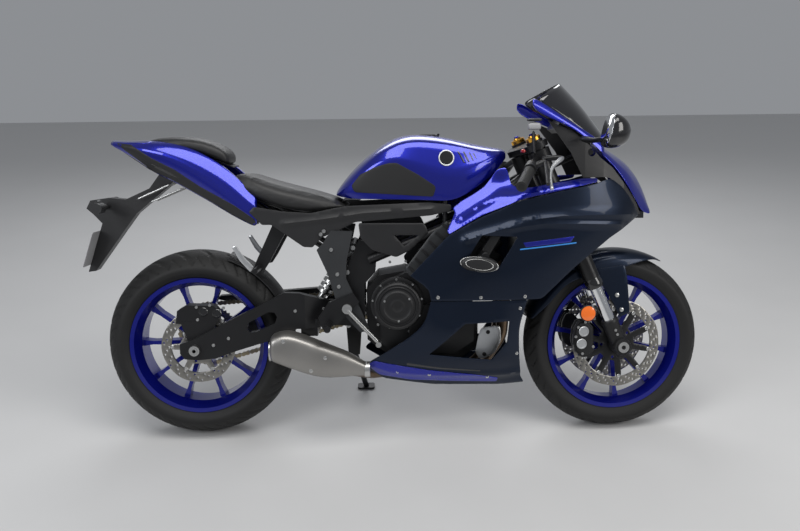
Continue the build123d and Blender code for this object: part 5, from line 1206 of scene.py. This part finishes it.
boltsOn("crankcaseScrews", "crankcase", [(600, 598), (742, 566), (752, 520), (748, 404), (700, 366), (598, 380), (556, 420),
                                         (548, 500), (640, 590), (692, 592)], sides=(-1,))
boltsOn("frameBolts", "main_frame", [(520, 640), (500, 560), (486, 452), (500, 380)], size=1.8, sides=(-1,))
boltsOn("braceBolts", "frame_braces", [(420, 690), (452, 640), (470, 560), (430, 700), (474, 520)], size=1.4)
boltsOn("swingarmBolts", "swingarm", [(60, 330), (110, 352), (330, 440), (420, 440)], size=1.2, sides=(-1,))
print("engine done")

# Rear caliper: piston caps and screws
boltsOn("rearCaliperCaps", "rear_caliper", [(26, 436), (70, 430)], turned([(0.1, -2), (15, -2), (15, 2), (13.4, 3.2), (10, 3.2),
        (9.4, 1.8), (0.1, 1.8)], 28), "blackGloss", sides=(-1,))
boltsOn("rearCaliperScrews", "rear_caliper", [(4, 452), (48, 458), (92, 448), (6, 410), (88, 404)], sides=(-1,), size=1.1)
print("rear caliper done")

# Muffler: rows from the rear end forward, then its end plate and clamp
mufflerRows = [(256, 330, 72, 84), (262, 330, 86, 98), (302, 329, 118, 104), (345, 314, 122, 104), (400, 291, 120, 100),
               (460, 276, 98, 86), (508, 268, 74, 68), (545, 254, 48, 50), (568, 248, 36, 42)]
sections = []
for x, z, high, wide in mufflerRows:
    ringPoints = []
    for a in np.arange(16) * math.tau / 16:
        c, s = math.cos(a), math.sin(a)
        ringPoints.append((x, -170 + max(0, x - 300) * 0.06 + wide / 2 * math.copysign(abs(c) ** 0.55, c),
                           z + high / 2 * math.copysign(abs(s) ** 0.55, s)))
    sections.append(ringPoints)
cage("mufflerShell", sections, "mufflerGrey", around=True, replaces=("muffler",), rowCreases=[(0, 0.7), (1, 0.5)])
addPiece("mufflerOutlet", *joined((*turned([(22, -8), (24, 6), (21, 7), (20, 0), (3, 0)], 32),
         Matrix.Translation((254, -166, 318)) @ Matrix.Rotation(-math.pi / 2, 4, "Y"))), "blackMetal", slot="black_metal")
addPiece("mufflerClamp", *joined((*turned([(24, -9), (25.5, -8), (25.5, 8), (24, 9)], 36),
         Matrix.Translation((562, -154, 249)) @ Matrix.Rotation(math.pi / 2, 4, "Y"))), "steel", slot="steel")
addPiece("mufflerEndRing", *joined((*turned([(30, -3), (33, -2), (34, 4), (31, 5), (29, 2)], 40),
         Matrix.Translation((253, -166, 318)) @ Matrix.Rotation(-math.pi / 2, 4, "Y"))), "steel", slot="steel")
mufflerSurface = shape(bpy.data.objects["mufflerShell"])
mufflerSpots = [(430, 302), (384, 262), (300, 360)]
scatter("mufflerScrews", domeScrew, [((x, -(far - 0.4), z), (0, -1, 0), (1, 0, 0)) for (x, z), far in
                                     zip(mufflerSpots, mufflerSurface(mufflerSpots))], "steel", size=1.3)
print("muffler done")

# Tail: black lower part and heel plate
tailSurface = shape(bpy.data.objects["tailShell_right"])
overlay("tailLower", [(-240, 987), (-186, 981), (-115, 936), (-43, 899), (34, 846), (146, 784), (210, 738), (212, 716), (184, 730),
                      (140, 751), (80, 789), (10, 829), (-60, 869), (-120, 895), (-160, 927), (-214, 966)],
        tailSurface, "blackPlastic", lift=1.6, thick=2.4, slot="black_plastic")
overlay("tailRecess", [(-120, 920), (-74, 898), (-30, 872), (-64, 884), (-110, 908)], tailSurface, "blackGloss", lift=2.2, thick=1.2,
        corner=3.0, slot="black_plastic")
for side, sideName in ((-1, "Right"), (1, "Left")):
    flatPlate("heelPlate" + sideName, rounded([(x, z, 5.0) for x, z in ((138, 655), (150, 662), (176, 622), (206, 590), (194, 573),
              (160, 612))], 5.0, 6.0), [], side * 152.0, 3.0, bikeFrame, "castSilver", "chassis", slot="aluminium", bevel=0.9)
print("tail trim done")


def tube(name, points, radius, material, body="chassis", sides=10, ends=None):
    # a bent bar through points; radius may be a list
    radii = radius if isinstance(radius, (list, tuple)) else [radius] * len(points)
    points = [Vector(point) for point in points]
    rows, guide = [], Vector((0.2, 0.3, 1.0))
    for number, point in enumerate(points):
        way = (points[min(number + 1, len(points) - 1)] - points[max(number - 1, 0)]).normalized()
        across = way.cross(guide).normalized()
        up = across.cross(way)
        rows.append([point + (across * math.cos(a) + up * math.sin(a)) * radii[number] for a in np.arange(sides) * math.tau / sides])
    return cage(name, rows, material, body, around=True, levels=1)


# Controls at the bars: levers, master cylinder, reservoir and switch
for side, sideName in ((-1, "Right"), (1, "Left")):
    tube("lever" + sideName, [(1178, side * 200, 926), (1168, side * 216, 920), (1146, side * 232, 906), (1130, side * 252, 890),
                              (1124, side * 278, 866), (1123, side * 302, 842), (1123, side * 306, 838), (1123, side * 312, 833)],
         [9, 8, 6.5, 5.5, 5, 4.6, 7.5, 5], "castSilver", "fork")
    tube("leverMount" + sideName, [(1112, side * 188, 922), (1134, side * 196, 924), (1160, side * 204, 926), (1180, side * 208, 926)],
         [8, 9, 9, 7], "blackMetal", "fork")
tube("reservoirStem", [(1100, -158, 930), (1096, -146, 975), (1098, -136, 1012)], [6, 5, 6], "blackMetal", "fork")
box = [[(1100 + 22 * math.copysign(abs(math.cos(a)) ** 0.4, math.cos(a)) * grow, -136 + 16 * math.copysign(abs(math.sin(a)) ** 0.4,
        math.sin(a)) * grow, z) for a in (np.arange(12) + 0.5) * math.tau / 12] for z, grow in ((1012, 0.8), (1015, 0.95), (1038, 1.0))]
cage("reservoir", box, "plateGrey", "fork", around=True)
lid = [[(x, y, z) for x, y, z in [(1100 + (px - 1100) * grow, -136 + (py + 136) * grow, height) for px, py, pz in box[2]]]
       for height, grow in ((1038, 1.06), (1044, 1.08), (1048, 0.96))]
cage("reservoirLid", lid, "blackPlastic", "fork", around=True)
tube("killSwitch", [(1048, -204, 946), (1052, -214, 948), (1056, -224, 946)], [5, 7, 5], "redLens", "fork")
print("controls done")

# Plate hanger: two bright rods a side and indicator pods
for side, sideName in ((-1, "Right"), (1, "Left")):
    tube("hangerRodUpper" + sideName, [(-196, side * 38, 800), (-134, side * 40, 826), (-66, side * 42, 856)], 3.2, "steel")
    tube("hangerRodLower" + sideName, [(-152, side * 44, 790), (-90, side * 45, 815), (-24, side * 46, 842)], 2.6, "steel")
    pod = [[(-304 + reach * 0.9 + wide * 0.35 * math.cos(a), side * (44 + out) , 792 + wide * 0.55 * math.sin(a)) for a in np.arange(12) * math.tau / 12]
           for out, wide, reach in ((0, 14, 0), (10, 15, 2), (22, 26, 6), (44, 28, 8), (62, 20, 8), (68, 8, 6))]
    cage("indicator" + sideName, pod, "blackPlastic", around=True)



floorMesh = bpy.data.meshes.new("floor")
half = studio["floorSize"] / 2
floorMesh.from_pydata([(-half, -half, 0), (half, -half, 0), (half, half, 0), (-half, half, 0)], [], [(0, 1, 2, 3)])
floorMesh.materials.append(materials["paleFloor"])
floor = bpy.data.objects.new("floor", floorMesh)
bpy.context.scene.collection.objects.link(floor)
